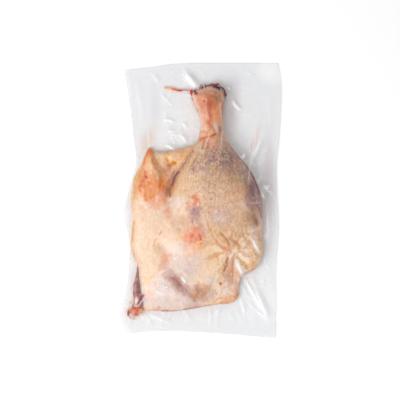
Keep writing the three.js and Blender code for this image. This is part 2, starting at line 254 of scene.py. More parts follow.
# Later patches lie over earlier ones.
SKIN_BASE = PARCHMENT
SKIN_PATCHES = {
    "cream flap": Patch((-50, -24), (24, 42), CREAM),
    "pale thigh": Patch((-17, -56), (26, 22), LINEN),
    "white lower flap": Patch((-38, -88), (24, 20), PORCELAIN),
    "lower edge of thigh": Patch((-8, -93), (14, 10), CHALK),
    "lower right": Patch((18, -80), (18, 20), IVORY),
    "flap towards thigh": Patch((-34, -28), (16, 14), CREAM),
    "flap above dent": Patch((-50, -60), (14, 16), PARCHMENT),
    "calf": Patch((20, 4), (42, 54), PALE_TAN, 1, 0, 0.35),
    "calf towards knee": Patch((-5, -10), (18, 18), PALE_TAN, 0.8),
    "calf left": Patch((-14, 14), (17, 17), SAND),
    "calf upper tan": Patch((22, 20), (20, 13), DEEP_TAN),
    "calf olive": Patch((37, 17), (11, 13), OLIVE),
    "calf grey": Patch((19, 40), (19, 13), GREY_TAN, 1, -20),
    "calf grey side": Patch((35, 36), (8, 15), GREY_TAN, 1, 42),
    "calf upper left": Patch((-4, 48), (7, 9), PARCHMENT),
    "calf lilac": Patch((3, 31), (7, 6), MAUVE, 0.8),
    "calf pale loops": Patch((-7, 31), (5, 6), MAUVE, 0.7),
    "calf dark spots": Patch((25, 38), (5, 5), GREY_BROWN, 0.7),
    "calf dark spot left": Patch((12, 39), (4, 4), DEEP_MAUVE, 0.7),
    "calf yellow spot": Patch((12, 31.5), (3.4, 3.2), OCHRE, 0.8),
    "calf middle": Patch((16, 2), (24, 13), PALE_TAN),
    "calf orange tan": Patch((33, 7), (9, 7), TAN, 0.8),
    "calf pale patch": Patch((7, -9), (8, 7), PALE_TAN, 0.9),
    "calf rose": Patch((21, -15), (10, 8), GREY_ROSE, 0.95),
    "calf tan low": Patch((33, -14), (9, 10), PALE_TAN, 0.9),
    "calf yellow low": Patch((38, -27), (10, 9), SAND, 0.9),
    "dark side": Patch((51.5, 4), (7.5, 22), DEEP_MAUVE, 1, 8),
    "dark side low": Patch((50, -17), (7, 8), DEEP_TAN, 0.9),
    "dark side brown": Patch((47, 0), (5, 5), MAUVE, 0.8),
    "grey side edge": Patch((55, -6), (3.5, 5), MAUVE, 0.8),
    "lilac side edge": Patch((56.5, -22), (3, 8), CREAM, 0.8),
    "shank": Patch((7.5, 84), (18, 30), CLAY, 1, 0, 0.3),
    "knuckle": Patch((9, 92), (10, 10), TERRACOTTA, 0.95),
    "knuckle core": Patch((8, 91.5), (5, 6), DEEP_RUST, 0.4),
    "knuckle grey": Patch((16, 97), (5.6, 6), UMBER, 0.9),
    "knuckle orange": Patch((1.5, 95), (4.5, 6), PINK, 0.9),
    "shank golden": Patch((16.5, 80), (4, 10), MELON, 0.8),
    "shank peach": Patch((2.5, 78), (4, 9), PALE_CORAL, 0.8),
    "shank pink low": Patch((3, 66), (6, 7), PALE_CORAL, 0.55),
    "below ankle": Patch((10, 55), (12, 6), CLAY, 0.85),
    "saddle golden": Patch((-21, 41), (18, 11), HONEY),
    "saddle light": Patch((-25, 42), (6, 5), BUTTER, 0.8),
    "saddle left": Patch((-40, 42), (6, 6), SAND, 0.9),
    "saddle low": Patch((-31, 26), (8, 8), UMBER, 0.95),
    "saddle brown": Patch((-31, 19), (7, 5), TAN, 0.9),
    "saddle top": Patch((-11, 49), (6, 4), STRAW, 0.9),
    "peak": Patch((-49.5, 45), (4, 7), BRIGHT_ORANGE),
    "corner strip": Patch((-60, 19), (5, 18), HONEY, 1, -14),
    "orange corner": Patch((-43, 14), (16, 11), ORANGE),
    "orange corner top": Patch((-49, 22), (7, 7), ORANGE, 0.9),
    "orange corner left": Patch((-55, 12), (6, 7), HONEY, 0.85),
    "corner pink": Patch((-36, 7), (5, 4), PINK, 0.8),
    "corner fade": Patch((-40, -2), (10, 6), PALE_CORAL, 0.8),
    # Partly the skin's pale colour, partly a painted glare on the wet film over the knee
    "knee pale and glare": Patch((-22, -2), (10, 6), SHELL),
    "knee cream": Patch((-21, -12), (9, 6), CREAM, 0.9),
    "knee streak": Patch((-31.5, -11), (3, 7), PALE_CORAL, 0.9),
    "grey hollow": Patch((-5, -12), (6, 7), DEEP_MAUVE, 0.95),
    "thigh pink": Patch((-11, -30), (14, 12), PALE_TAN, 0.95),
    "thigh bruise": Patch((-5, -34), (9, 7), SALMON, 0.8),
    "thigh orange left": Patch((-17, -36), (4, 3), APRICOT, 0.8),
    "thigh orange low": Patch((-2, -44), (6, 4), APRICOT, 0.9),
    "thigh orange right": Patch((6, -45), (6, 5), APRICOT, 0.9),
    "thigh rose low": Patch((-9, -48), (6, 5), PEACH, 0.8),
    "thigh tan": Patch((13, -35), (13, 13), SAND, 0.9),
    "thigh yellow": Patch((12, -57), (11, 12), BUTTER, 0.95),
    "thigh ochre": Patch((15, -47), (9, 6), BUTTER, 0.9),
    "thigh lilac": Patch((-12, -65), (6, 6), CHALK, 0.8),
    "pink patch": Patch((-33.5, -54), (4, 6.5), PINK, 0.8),
    "pink patch tail": Patch((-36, -64), (4, 5), ROSE, 0.8),
    "pink patch head": Patch((-38.5, -47), (6, 4.4), TAN, 0.7, -35),
    # Painted shade in the dent, at its middle and its foot
    "dent": Patch((-22.8, -77.5), (12, 5.4), MAUVE, 1, -43),
    "dent head": Patch((-31, -68), (5, 4), GREY_ROSE, 0.85),
    "dent shade foot": Patch((-15, -85), (7, 4), MAUVE, 0.9, -25),
    "yellow fat": Patch((-50.6, -75), (2.6, 7), STRAW, 0.7, -25),
    "flap blush": Patch((-48.6, -88), (3.4, 6), PEACH, 0.7),
    "lilac corner": Patch((-54.4, -95.7), (2.6, 4.5), LILAC, 0.85, -30),
    "round bump": Patch((8, -76.4), (6.4, 6.2), SHELL, 0.95, 0, 0.5),
    "brown area": Patch((1, -88), (10, 7), UMBER, 0.95),
    "brown area left": Patch((-5, -90), (5, 5), UMBER, 0.8),
    "grey low": Patch((10, -90), (5, 4), CHALK, 0.8),
    "lilac low": Patch((-7, -100), (7, 3.5), GREY_ROSE, 0.8),
    "pleats": Patch((28, -66), (6, 16), GREY_ROSE, 0.9),
    "lobe": Patch((46, -53), (14, 13), WHITE_FAT),
    "lobe pale": Patch((39, -46), (4.6, 6), WHITE_FAT, 0.95, 20),
    "lobe pale right": Patch((44, -52), (6, 3.4), WHITE_FAT, 0.9, -38),
    "lobe ochre low": Patch((49.6, -59), (5, 5), STRAW, 0.8),
    "gather olive": Patch((32, -40.5), (4.6, 3), OLIVE, 0.6, -35),
    "lobe rose": Patch((52.5, -40), (4, 7), WHITE_FAT, 0.9, 15),
    "lobe top": Patch((45, -33), (9, 8), SHELL, 0.85),
    "lobe side": Patch((57, -41), (3, 9), PEACH, 0.85, 8),
    "lower right pink": Patch((24, -86), (9, 8), SHELL, 0.85),
    "lower corner orange": Patch((27, -95), (7, 3.5), STRAW, 0.85),
    "lower rim yellow": Patch((13, -98), (11, 2), PEACH, 0.7),
}
SKIN_STROKES = {
    # Painted light along the shank's left side, towards the light
    "shank left painted light": Stroke([(-6.8, 98), (-4, 89), (-1, 79), (0.4, 68)], 4.4, MILKY_PINK, 0.9),
    "shank left line": Stroke([(-9.3, 99.5), (-7.2, 92.5), (-3.8, 84.5), (-2.2, 76)], 1.3, RUST, 0.8),
    "shank column": Stroke([(7, 88), (9, 78), (9, 70)], 3.6, TERRACOTTA),
    "knuckle wrinkle": Stroke([(1.6, 99.6), (6.4, 101.4), (12, 100.6)], 1.2, GREY_ROSE, 0.6),
    "knuckle wrinkle low": Stroke([(8, 97.4), (12.4, 97.2), (15.4, 94)], 1.1, COCOA, 0.45),
    "shank right edge": Stroke([(19, 92), (18.3, 86), (19.2, 78), (20.7, 70)], 1.7, PEACH),
    # Painted shade on the shank's right side, away from the light
    "shank shaded side": Stroke([(22.3, 96), (21.2, 88), (21.2, 78)], 1.2, GREY_BROWN, 0.6),
    "lilac rim": Stroke([(-1.5, 102.5), (4, 104.6), (11, 105.3), (17, 103.6)], 3, GREY_ROSE, 0.9),
    "pale rim right": Stroke([(16.8, 104.6), (20.2, 103.2), (20.8, 99), (21.6, 94)], 1.3, CHALK, 0.85),
    "rim spots": Stroke([(10.8, 102.6), (15, 101.4), (17.6, 98.6)], 1.5, UMBER, 0.6),
    "cut rim": Stroke([(-3, 105.8), (4, 107.8), (11.5, 110)], 1.6, WINE, 0.75),
    "cut clot": Stroke([(12.4, 109.4), (15.4, 107.8), (18.6, 106.2)], 4.2, OXBLOOD, 1.0),
    "clot core": Stroke([(13, 108.4), (15.4, 107.2), (17, 106.4)], 2.2, BLACKBERRY, 1.0),
    "cut flesh": Stroke([(20, 106.6), (23, 103.4), (23.8, 99.6)], 3, OXBLOOD, 1.0),
    "cut flesh left": Stroke([(-9.6, 100), (-9, 103.2), (-6.4, 105)], 1.8, BLOOD, 0.9),
        "cut red right": Stroke([(16, 109), (18.4, 108)], 1.6, BLOOD, 0.8),
    "shank pale bump": Stroke([(14.9, 71), (15, 66.8)], 4.2, CHALK, 0.95),
    "shank dark left": Stroke([(11.4, 70), (12.2, 65.6)], 1.5, TERRACOTTA, 0.85),
    "shank dark right": Stroke([(17.6, 69), (18.6, 64.8)], 1.7, COCOA, 0.85),
    "ankle lace": Stroke([(0.4, 66), (2.4, 68), (4.8, 66)], 1.3, IVORY, 0.8),
    "ankle lace low": Stroke([(1, 62.6), (3.4, 61.8)], 1.3, MILKY_PINK, 0.7),
    "ankle crease": Stroke([(-0.5, 57), (4, 59.5), (8, 60)], 1.5, RUST, 0.95),
    "ankle crease right": Stroke([(9.5, 60.5), (13.5, 63)], 1.6, DEEP_RUST, 0.95),
    "ankle tendon": Stroke([(6, 55.5), (6.4, 49)], 1.5, CINNAMON, 0.6),
    "ankle side pale": Stroke([(1.2, 56), (0, 48)], 1.2, IVORY, 0.6),
    "ankle side brown": Stroke([(3.2, 56), (1.6, 48)], 1.3, CINNAMON, 0.55),
    "calf edge": Stroke([(29.6, 49), (35.8, 40.4), (41.8, 33.4), (45.6, 29.5)], 1.8, COCOA, 0.85),
    "side wedge": Stroke([(47.6, 27.4), (51, 20.4), (53.6, 14.8)], 2.6, OXBLOOD, 0.95),
    "side maroon": Stroke([(53.8, 13.4), (56, 7), (57.6, 1)], 2.2, OXBLOOD, 0.9),
    "side brown": Stroke([(47.8, 15), (48.8, 3)], 5, PLUM, 0.7),
    "side cross line": Stroke([(44, -3.4), (57, -3.4)], 1.2, DEEP_MAUVE, 0.7),
    "side dark line": Stroke([(53.2, -4.6), (56, -10.4), (57.4, -16)], 1.3, PLUM, 0.75),
    "side brown low": Stroke([(49.6, -15), (53.4, -22)], 4, COCOA, 0.6),
    "side dark low": Stroke([(50.6, -16.6), (52.4, -20), (53, -24)], 1.4, COCOA, 0.7),
    "side grey speck": Stroke([(49.6, 13), (50.6, 9.4)], 2, PLUM, 0.7),
    "side grey speck low": Stroke([(53.6, 1.4), (54.8, -1)], 1.8, PLUM, 0.6),
    "side pale line": Stroke([(51, -12), (54.4, -17), (57, -25)], 1.1, GREY_ROSE, 0.6),
    "side pale line upper": Stroke([(52.4, 12), (51.6, 6), (55.6, 2)], 1, GREY_ROSE, 0.5),
    "ridge": Stroke([(-49.7, 47), (-50.4, 38), (-51, 29), (-50.4, 21)], 6.5, MELON, 0.8),
    "ridge pale left": Stroke([(-51.6, 42), (-52, 36), (-51.9, 29)], 1.6, PEACH, 0.85),
    "ridge pale right": Stroke([(-47.3, 40), (-46.8, 34), (-46.8, 29.5)], 2, IVORY, 0.85),
    "ridge orange right": Stroke([(-48.2, 46.8), (-45.4, 38), (-41.2, 27.8)], 1.7, BRIGHT_ORANGE, 0.8),
    "ridge pink": Stroke([(-43, 28), (-41.2, 23), (-39.9, 19)], 2, MILKY_PINK, 0.8),
    "ridge orange left": Stroke([(-50.1, 47.7), (-53.3, 38), (-54.3, 33.5)], 2.3, DEEP_ORANGE, 0.85),
    "ridge shadow": Stroke([(-44.9, 42), (-40.3, 32.5), (-36.5, 24)], 3, BRASS, 0.7),
    "golden rim": Stroke([(-58.9, 29), (-61.2, 23.5), (-63.4, 16)], 1.8, MUSTARD, 0.85),
    "saddle and shank": Stroke([(-7.4, 49.5), (-9.5, 43), (-13, 38), (-18, 32)], 3.4, GREY_TAN, 0.6),
    "saddle red spot": Stroke([(-7.4, 47.8), (-7.4, 45.8)], 1.3, SALMON, 0.9),
    "orange fleck upper": Stroke([(-32.6, 39.8), (-31.4, 37.8)], 2.2, BRONZE, 0.9),
    "orange fleck lower": Stroke([(-30.8, 32.5), (-27.6, 33.2)], 2.2, BRONZE, 0.9),
    "orange fleck right": Stroke([(-26.2, 35.8), (-24, 35)], 2.4, BRONZE, 0.9),
    "crease above": Stroke([(-15, 36), (-19.7, 30), (-22.5, 25)], 3.6, GREY_TAN, 0.6),
    # Painted shade in the deep crease between the calf and the saddle
    "crease painted shade": Stroke([(-21.4, 26.6), (-25.4, 20.8), (-27.6, 15.4)], 2.3, PLUM, 0.9),
    "crease painted shade low": Stroke([(-28, 14.5), (-29.7, 8), (-29, 3.6)], 2.3, COCOA, 0.85),
    "beside crease": Stroke([(-31, 18), (-32, 11), (-32, 5)], 3.6, UMBER, 0.75),
    "red spot": Stroke([(-52.2, 22.7), (-51, 21.3)], 1.8, BLOOD, 0.95),
    "flank pale": Stroke([(-59.6, 27), (-61.2, 19), (-61.6, 10)], 2, PARCHMENT, 0.5),
    "flank line": Stroke([(-60.6, 26), (-62, 19), (-62.8, 11)], 1.1, BRASS, 0.7),
    "flank line inner": Stroke([(-57.4, 28), (-59.8, 20), (-60.6, 12)], 1.1, MUSTARD, 0.6),
    "flank line low": Stroke([(-63.4, 8), (-63.8, 0)], 1.2, OCHRE, 0.6),
    "ridge peach": Stroke([(-50.2, 38), (-49.6, 31), (-48.8, 25)], 3.4, STRAW, 0.6),
    "red line to spot": Stroke([(-52.8, 27.4), (-52.2, 23)], 1.3, RUST, 0.8),
    "red smear": Stroke([(-54.2, 19.2), (-57, 15.4), (-58, 11.8)], 2.3, RUST, 0.85),
    "orange smear": Stroke([(-55.6, 13.6), (-54.2, 12.6)], 2.3, DEEP_ORANGE, 0.9),
    "red smear low": Stroke([(-57.9, 10.4), (-57.3, 8.8)], 1.9, RUST, 0.85),
    "orange drip": Stroke([(-52.4, 13), (-53, 5), (-52, 0)], 3.2, DEEP_ORANGE, 0.75),
    "orange drip middle": Stroke([(-44.6, 9.5), (-43.9, 0.5)], 2.2, TANGERINE, 0.6),
    "orange drip right": Stroke([(-47.8, 8), (-47, 2.6)], 2.8, DEEP_ORANGE, 0.7),
    "orange spot": Stroke([(-49.3, 17.4), (-48.2, 15.2)], 2.1, EMBER, 0.8),
    "orange bar": Stroke([(-38.5, 18.5), (-38.2, 10)], 3, BRIGHT_ORANGE, 0.9),
    "corner rose": Stroke([(-39.3, 7.8), (-38.7, 2)], 3.4, PINK, 0.8),
    "knee orange": Stroke([(-34.6, 1.2), (-34, -3)], 2.2, TANGERINE, 0.65),
    "knee white": Stroke([(-29.2, 1), (-27.3, -5.5)], 1.8, SHELL, 0.9),
    "knee brown": Stroke([(-12.6, -2.6), (-10, -6.5)], 1.6, PINK, 0.8),
    "red hook": Stroke([(-6.8, 3.2), (-4.9, 4), (-4.6, 0), (-6.4, -3.8)], 2.6, RUST, 0.9),
    "red hook side": Stroke([(-3, 1), (-1, -4)], 1.5, RUST, 0.85),
    "hook foot": Stroke([(-12.8, -3), (-10, -7)], 2, PINK, 0.8),
    "hollow tail": Stroke([(-4.5, -16), (-1.7, -21), (1.2, -26), (3, -32)], 3.8, GREY_TAN, 0.75),
    "hollow dark line": Stroke([(-7.8, -16.5), (-7.4, -21.5)], 1.1, DEEP_MAUVE, 0.75),
    "thigh line": Stroke([(4, -15), (7, -22.5), (9, -29), (11.6, -35), (15.4, -38.7)], 1.1, DEEP_TAN, 0.6),
    "blood left": Stroke([(-9, -34.2), (-7.4, -32.8)], 2.2, SCARLET, 0.95),
    "blood flecks": Stroke([(-14.4, -32.6), (-12.6, -30.8)], 1.4, CLAY, 0.8),
    "blood flecks low": Stroke([(-11.6, -41), (-9.6, -39.8)], 1.4, MELON, 0.8),
    "blood right": Stroke([(-0.9, -32), (-0.6, -36.6)], 1.7, SCARLET, 0.95),
    "blood low": Stroke([(-3.5, -38), (-0.8, -37.6)], 1.2, SALMON, 0.9),
    "blood spot": Stroke([(0, -41.3), (0.6, -42)], 1.3, SALMON, 0.9),
    "blood halo": Stroke([(-5, -27), (-2.4, -27.6)], 2.1, SALMON, 0.8),
    "scratch upper": Stroke([(-36.8, -28.3), (-38.7, -32)], 1.0, ORANGE, 0.95),
    "scratch lower": Stroke([(-42, -36), (-44, -39.7), (-45.4, -43.5)], 0.9, CLAY, 0.9),
    "lean line": Stroke([(-60.2, -60), (-60, -69)], 1.3, DUSTY_RED, 0.9),
    "flap rim": Stroke([(-63.5, -21), (-64.8, -30), (-65.8, -38), (-66.4, -45), (-64, -53), (-61.5, -60)],
                       2.4, MUSTARD, 0.9),
    "flap rim upper": Stroke([(-65.5, 12), (-66.3, 2), (-65.3, -10)], 2.0, APRICOT, 0.8),
    "lower ridge light": Stroke([(-29.6, -64.4), (-38, -69), (-46, -75.6)], 2.2, SHELL, 0.4),
    # Painted shade at the dent's darkest
    "dent shade core": Stroke([(-25.5, -74.5), (-20, -79.5)], 3, DEEP_MAUVE, 0.85),
    # Painted shade round the bump's left side
    "bump side shade": Stroke([(-1.7, -77), (-2.8, -82.5), (-0.7, -87)], 2.4, UMBER, 0.7),
    "red dot halo": Stroke([(18.2, -78.2), (19.2, -78.8)], 2.4, SALMON, 0.8),
    "red dot": Stroke([(18.7, -78.4), (18.9, -78.8)], 1.3, BLOOD, 0.95),
    "brown dark spot": Stroke([(-7, -94.8), (-5.8, -94.8)], 1.2, GREY_BROWN, 0.5),
    "orange dot": Stroke([(7.2, -11), (7.6, -11.6)], 1.2, TANGERINE, 0.9),
    "brown dot": Stroke([(16.9, -10.4), (16.9, -12)], 1.3, UMBER, 0.9),
    "wrinkle inner": Stroke([(19.2, -31), (23, -35), (26, -39.7), (27.3, -41.6)], 1.2, CINNAMON),
    "wrinkle middle": Stroke([(12.2, -36.4), (17, -41.2), (21, -45.3), (25.8, -46)], 1.9, MELON),
    "wrinkle outer": Stroke([(27.8, -36), (32, -38.8), (36, -43), (36.4, -48)], 2.6, BRASS),
    "lobe tan line": Stroke([(37.3, -35), (38, -40), (37.3, -46)], 1.4, APRICOT, 0.8),
    "lobe wrinkle": Stroke([(40.6, -31), (43.4, -37), (44, -44)], 1.6, APRICOT, 0.8),
    "lobe ochre": Stroke([(42.6, -31), (44.4, -32.6)], 2.2, OCHRE, 0.8),
    "lobe fold": Stroke([(46.1, -39.6), (48.1, -46.6), (52.9, -51.3), (56, -53.2)], 2.2, APRICOT),
    "side fold": Stroke([(54.6, -32.4), (56.6, -38.6)], 2, PINK),
    "lobe right edge": Stroke([(56, -42), (57.6, -47)], 1.8, STRAW, 0.8),
    "lobe lower fold": Stroke([(34.4, -54), (40, -58.8), (43.4, -63.6)], 2.6, OCHRE, 0.9),
    "wrinkle second": Stroke([(16.4, -33.6), (20.6, -38.6), (26, -40.6)], 1.4, HONEY, 0.7),
    "wrinkle olive": Stroke([(30, -29), (29, -35.6)], 2, CLAY, 0.7),
    "streak": Stroke([(9, -48), (9.8, -54.4)], 1.6, STRAW, 0.6),
    "streak right": Stroke([(16, -49.6), (17.2, -61.5)], 1.6, HONEY, 0.6),
    "pleat dark": Stroke([(25.4, -54), (24.4, -58.2), (23.7, -62.3), (22.4, -67)], 1.8, CINNAMON, 0.95),
    "pleat middle": Stroke([(30.2, -55.8), (30, -66), (30.6, -77.6)], 1.7, UMBER),
    "pleat grey": Stroke([(27.4, -60), (27.6, -72), (28.4, -80)], 2.6, PALE_TAN, 0.7),
    "pleat right": Stroke([(33.2, -64.4), (35.3, -76.4), (36, -84)], 1.5, APRICOT),
    "pleat foot": Stroke([(31.2, -77.6), (33.4, -84), (35, -91)], 2, PINK, 0.8),
    "pleat left": Stroke([(20.7, -55), (21, -64.4), (22, -72)], 1.4, PALE_TAN, 0.8),
    # Painted highlight under the film's glint on the pleats
    "pleat painted highlight": Stroke([(35, -57), (37, -66), (38.5, -72)], 2.4, WHITE_FAT, 0.8),
    "lobe red edge": Stroke([(42.5, -70), (46.5, -67.6), (50.8, -65)], 2, CORAL, 0.8),
    "lower rim": Stroke([(-37, -105.4), (-27, -105.5), (-15, -104), (-0.7, -101.4)], 1.3, TERRACOTTA, 0.95),
    "lower rim right": Stroke([(0, -101.2), (13.5, -99.2), (29, -97.2)], 1.2, CLAY, 0.9),
    "corner loop": Stroke([(12, -96.4), (17, -93.4), (22, -93), (27, -95.6)], 1.1, MELON, 0.8),
    "corner loop inner": Stroke([(19, -97), (22, -95.4), (25, -97)], 1, CORAL, 0.6),
    "corner loop right": Stroke([(24, -92), (29, -90.6), (33.6, -92.6)], 1.1, CLAY, 0.8),
    "corner line": Stroke([(29, -84), (32, -88), (34.6, -91)], 1, SALMON, 0.7),
    "lower corner edge": Stroke([(29, -97), (34.5, -93), (36, -87)], 1.5, MELON, 0.85),
    "fold beside strip": Stroke([(-57.6, -95.4), (-56, -93), (-54.6, -90.8)], 1.9, WINE, 0.85),
    "scrap on the rim": Stroke([(-44, -103.6), (-40.6, -104.4)], 2, CORAL, 0.5),
    "flap dot": Stroke([(-41, -101.4), (-38.5, -101.4)], 1.6, CLAY, 0.8),
}

# Where the skin's patterns show. Follicles show most on the calf.
FOLLICLE_ZONES = {
    "calf": Patch((8, 22), (34, 34), None, 1.0, -20, 0.6),
    "lower calf": Patch((20, -10), (32, 26), None, 0.5, 0, 0.6),
    "saddle": Patch((-24, 40), (18, 12), None, 0.25),
}
GREY_ZONES = {
    "upper calf": Patch((20, 39), (20, 13), None, 1.0, -20, 0.6),
    "calf side": Patch((37, 30), (9, 16), None, 0.9, 40, 0.6),
    "calf left": Patch((-4, 34), (11, 11), None, 0.9),
    "calf middle": Patch((12, 14), (20, 10), None, 0.3),
    "calf low": Patch((20, -14), (18, 11), None, 0.25),
    "side": Patch((51, -2), (7, 22), None, 0.6),
}
CREPE_ZONES = {
    "lobes": Patch((45, -42), (17, 24), None, 1.0),
    "knuckle": Patch((9, 99), (13, 7), None, 0.8),
    "shank": Patch((8, 80), (12, 22), None, 0.45),
    "lower corner": Patch((22, -90), (16, 10), None, 0.7),
    "side": Patch((51, -18), (8, 16), None, 0.8),
    "pleats": Patch((29, -72), (11, 20), None, 0.7),
    "corner": Patch((-46, 18), (14, 24), None, 0.4),
}
# Its tint darkens the crepe's valleys, as painted shade
CREPE = {"size": 4.4, "layer": 140.5, "sharpness": 7, "depth": 0.7, "tint": 0.5}
BLOOD_ZONES = {
    "corner": Patch((-49, 14), (15, 13), None, 0.6),
    "bruise": Patch((-5, -34), (13, 11), None, 1.0),
    "hook": Patch((-5, -2), (8, 8), None, 0.5),
    "knuckle": Patch((8, 90), (12, 14), None, 0.5),
    "lower corner": Patch((24, -94), (14, 5), None, 0.6),
    "pleats": Patch((30, -50), (24, 24), None, 0.35),
}

# Fine creases of the film. They stand up a little, in the border and over the meat alike.
# Their rise also paints the film white along them, as a painted highlight
FILM_CREASES = {
    "hock wedge": Line([(-15, 120), (-10, 113.5), (-3.6, 106.8)], 1.15, 3.2),
    "hock wedge side": Line([(-17, 126), (-13, 120), (-8, 113)], 0.7, 1.6),
    "left upper": Line([(-38, 101), (-33, 96), (-28, 90.5)], 0.55, 0.9),
    "left top": Line([(-46.6, 120), (-43, 115.6), (-40.4, 112)], 0.5, 1.6),
    "left middle": Line([(-35.2, 77), (-30, 75.8), (-25.4, 74)], 0.95, 1.5),
    "left of shank": Line([(-18, 73.4), (-15.6, 71.6), (-13.6, 68.6)], 0.9, 1.1),
    "above saddle start": Line([(-32, 65.4), (-28, 65.6), (-24.8, 64.6)], 0.8, 1.0),
    "above saddle one": Line([(-24, 65.3), (-18.5, 65.3)], 0.6, 0.9),
    "above saddle two": Line([(-29, 62.8), (-23, 61)], 0.6, 0.9),
    "above saddle three": Line([(-20.8, 62), (-17, 59.6), (-14.8, 54.6)], 1.0, 1.4),
    "above saddle four": Line([(-33.8, 52.6), (-30, 51), (-25.4, 48)], 1.1, 1.4),
    "right of hock": Line([(30.4, 95), (33.4, 89.8), (38.6, 85.6)], 1.1, 1.6),
    "beside hock": Line([(25.6, 107.4), (27.8, 105.4)], 1.1, 0.9),
    "right of calf": Line([(42, 43.6), (39, 40)], 1.3, 1.4),
    "shoulder streak": Line([(57, 57), (53.6, 48.6), (49, 39)], 0.8, 1.7),
    "shoulder line": Line([(60.5, 58), (55.5, 48), (52, 39)], 0.35, 0.8),
    "shoulder knot": Line([(48.7, 38.5), (49.3, 32)], 0.5, 0.9),
    "side knot one": Line([(60, 13.5), (64.5, 10)], 1.1, 1.2),
    "side knot two": Line([(57.8, 6.5), (60.6, 2.2)], 1.0, 1.1),
    "side knot three": Line([(63, 14.5), (66, 12.5)], 0.8, 0.9),
    "side knot four": Line([(62, 9.4), (66.6, 7.6)], 0.6, 0.9),
    "side knot five": Line([(66, 9), (68, 4)], 0.5, 1.2),
    "right band": Line([(63.4, -6), (64.4, -26), (63.6, -46)], 0.3, 1.6),
    "right band outer": Line([(67.6, -2), (68.6, -24), (67.6, -50)], 0.25, 2.2),
    "corner one": Line([(41.4, -74.8), (46.8, -84.3), (53.4, -96.7), (58, -106)], 0.9, 1.5),
    "corner two": Line([(46.8, -73.9), (52.2, -83.4), (59, -101.4), (63, -112)], 0.9, 2.4),
    "corner three": Line([(37, -94), (40, -101), (41.5, -108)], 0.7, 1.3),
    "corner three beside": Line([(38, -81.5), (42, -86), (47.5, -96)], 0.7, 1.3),
    "corner four": Line([(41, -77), (49, -93), (55, -100)], 0.5, 0.8),
    "corner five": Line([(45, -98), (55, -107), (62, -113)], 0.6, 1.0),
    "lower left": Line([(-49, -108.5), (-38.7, -113), (-29, -116.6)], 0.7, 1.4),
    "ankle line": Line([(8.6, 61), (6.2, 56.3), (4, 49.4)], 0.5, 0.7),
    "shank line": Line([(21.4, 67.6), (20, 62.6), (19.4, 57), (19.6, 52), (18, 44)], 0.6, 0.75),
    "calf side line": Line([(53, 64), (50.2, 52), (47.2, 36), (45.6, 24), (44.6, 15.7)], 0.6, 0.8),
    "calf lower line": Line([(37.2, 1.6), (42, -6.8), (46.8, -10.4)], 0.32, 1.1),
    "calf cross line": Line([(44, -2.4), (51, -2.6), (58, -2.2)], 0.5, 0.6),
    "lobe glint": Line([(33.9, -56.8), (35.3, -62.2), (38, -67), (40, -71)], 1.0, 1.9),
    "side glint": Line([(49.2, -37), (51.5, -42.5), (55.6, -49.4)], 1.0, 1.4),
    "pleat glint": Line([(36, -73.5), (36, -77)], 0.8, 1.0),
    "strip fold": Line([(-59.6, -101), (-56.4, -96.6), (-53, -92.4)], 0.6, 0.7),
    "strip fold left": Line([(-62.2, -93), (-60, -100.4)], 0.5, 0.7),
    "dent glint": Line([(-18.4, -73), (-16, -75.6), (-13.6, -79)], 1.1, 1.5),
    "dent glint left": Line([(-33.8, -82), (-30.4, -82.6)], 0.9, 1.1),
    "white flap glint": Line([(-45, -84.6), (-39, -88), (-33, -91.6)], 0.5, 2.6),
    "peak line": Line([(-49.5, 66), (-49.8, 58), (-49, 51)], 0.35, 0.9),
    "soft streak right": Line([(37, 93), (46, 102), (55, 108)], 0.24, 2.4),
    "soft streak lower": Line([(42, 66), (48, 80), (56, 93)], 0.2, 2.6),
    "soft band right": Line([(63, 104), (66, 84), (67, 58)], 0.2, 2.8),
    "soft band left": Line([(-60, 112), (-57.5, 92), (-54, 72)], 0.2, 2.8),
    "soft streak top": Line([(-62, 119.5), (-40, 122), (-20, 123.5)], 0.2, 1.6),
}


# The strip of lean meat beside the skin, and the bloody scrap below it
LEAN_OUTLINE = [
    (-60.4, -62.5), (-59.3, -68), (-58.6, -76), (-57.3, -84), (-56.6, -92), (-55, -100.5), (-60, -102),
    (-65.4, -101.2), (-63.9, -97.5), (-64.6, -88), (-64.5, -81), (-62.6, -74), (-61.2, -68),
]
LEAN_RISE = {"thin": 1.2, "thick": 4.6, "round": 3.2, "lumps": 0.8, "size": 5, "layer": 70.5}
LEAN_BASE = DEEP_MAUVE
LEAN_STROKES = {
    "left": Stroke([(-63, -72), (-63.6, -86)], 2.2, MAUVE, 0.8),
    "right": Stroke([(-58.4, -68), (-57.2, -82), (-56.6, -92)], 1.6, GREY_ROSE, 0.7),
    "core": Stroke([(-60.4, -82), (-60.3, -90)], 2.6, WINE, 0.75),
    "dark side": Stroke([(-59, -80), (-58.8, -90)], 1.8, PLUM, 0.6),
    "left branch": Stroke([(-63.4, -91), (-63, -100)], 2.2, DUSTY_RED, 0.9),
    "white fat": Stroke([(-61, -94), (-60.4, -99.6)], 3.2, WHITE_FAT, 0.95),
    "fold": Stroke([(-60, -98.8), (-57.4, -94.6), (-54.9, -91.4)], 2.3, WINE, 0.9),
}
Lump = namedtuple("Lump", "at radii turn colour")
SCRAP_LUMPS = {
    "dark head": Lump((-63.2, -102.6), (2, 1.5), 0, RUST),
    "upper": Lump((-59.6, -102.6), (2.4, 1.4), 0, SALMON),
    "link": Lump((-66.6, -104.6), (2.8, 1.1), 14, PINK),
    "left bit": Lump((-68.9, -107.2), (1.1, 3), -6, CRIMSON),
    "centre": Lump((-61, -106.2), (2.5, 2), 0, RUST),
    "centre low": Lump((-61.6, -108.6), (2.6, 1.2), 0, SALMON),
    "right": Lump((-57.2, -104.4), (2.4, 1.9), 0, PINK),
    "right tail": Lump((-52.4, -104.9), (4.2, 0.8), -4, LINEN),
    "crumb": Lump((-67.6, -111.6), (0.8, 1.3), 0, PALE_CORAL),
    "crumb below": Lump((-65, -113.4), (1.5, 0.8), 0, MILKY_PINK),
    "crumb above": Lump((-67.4, -97.4), (0.7, 1.5), 0, ROSE),
}
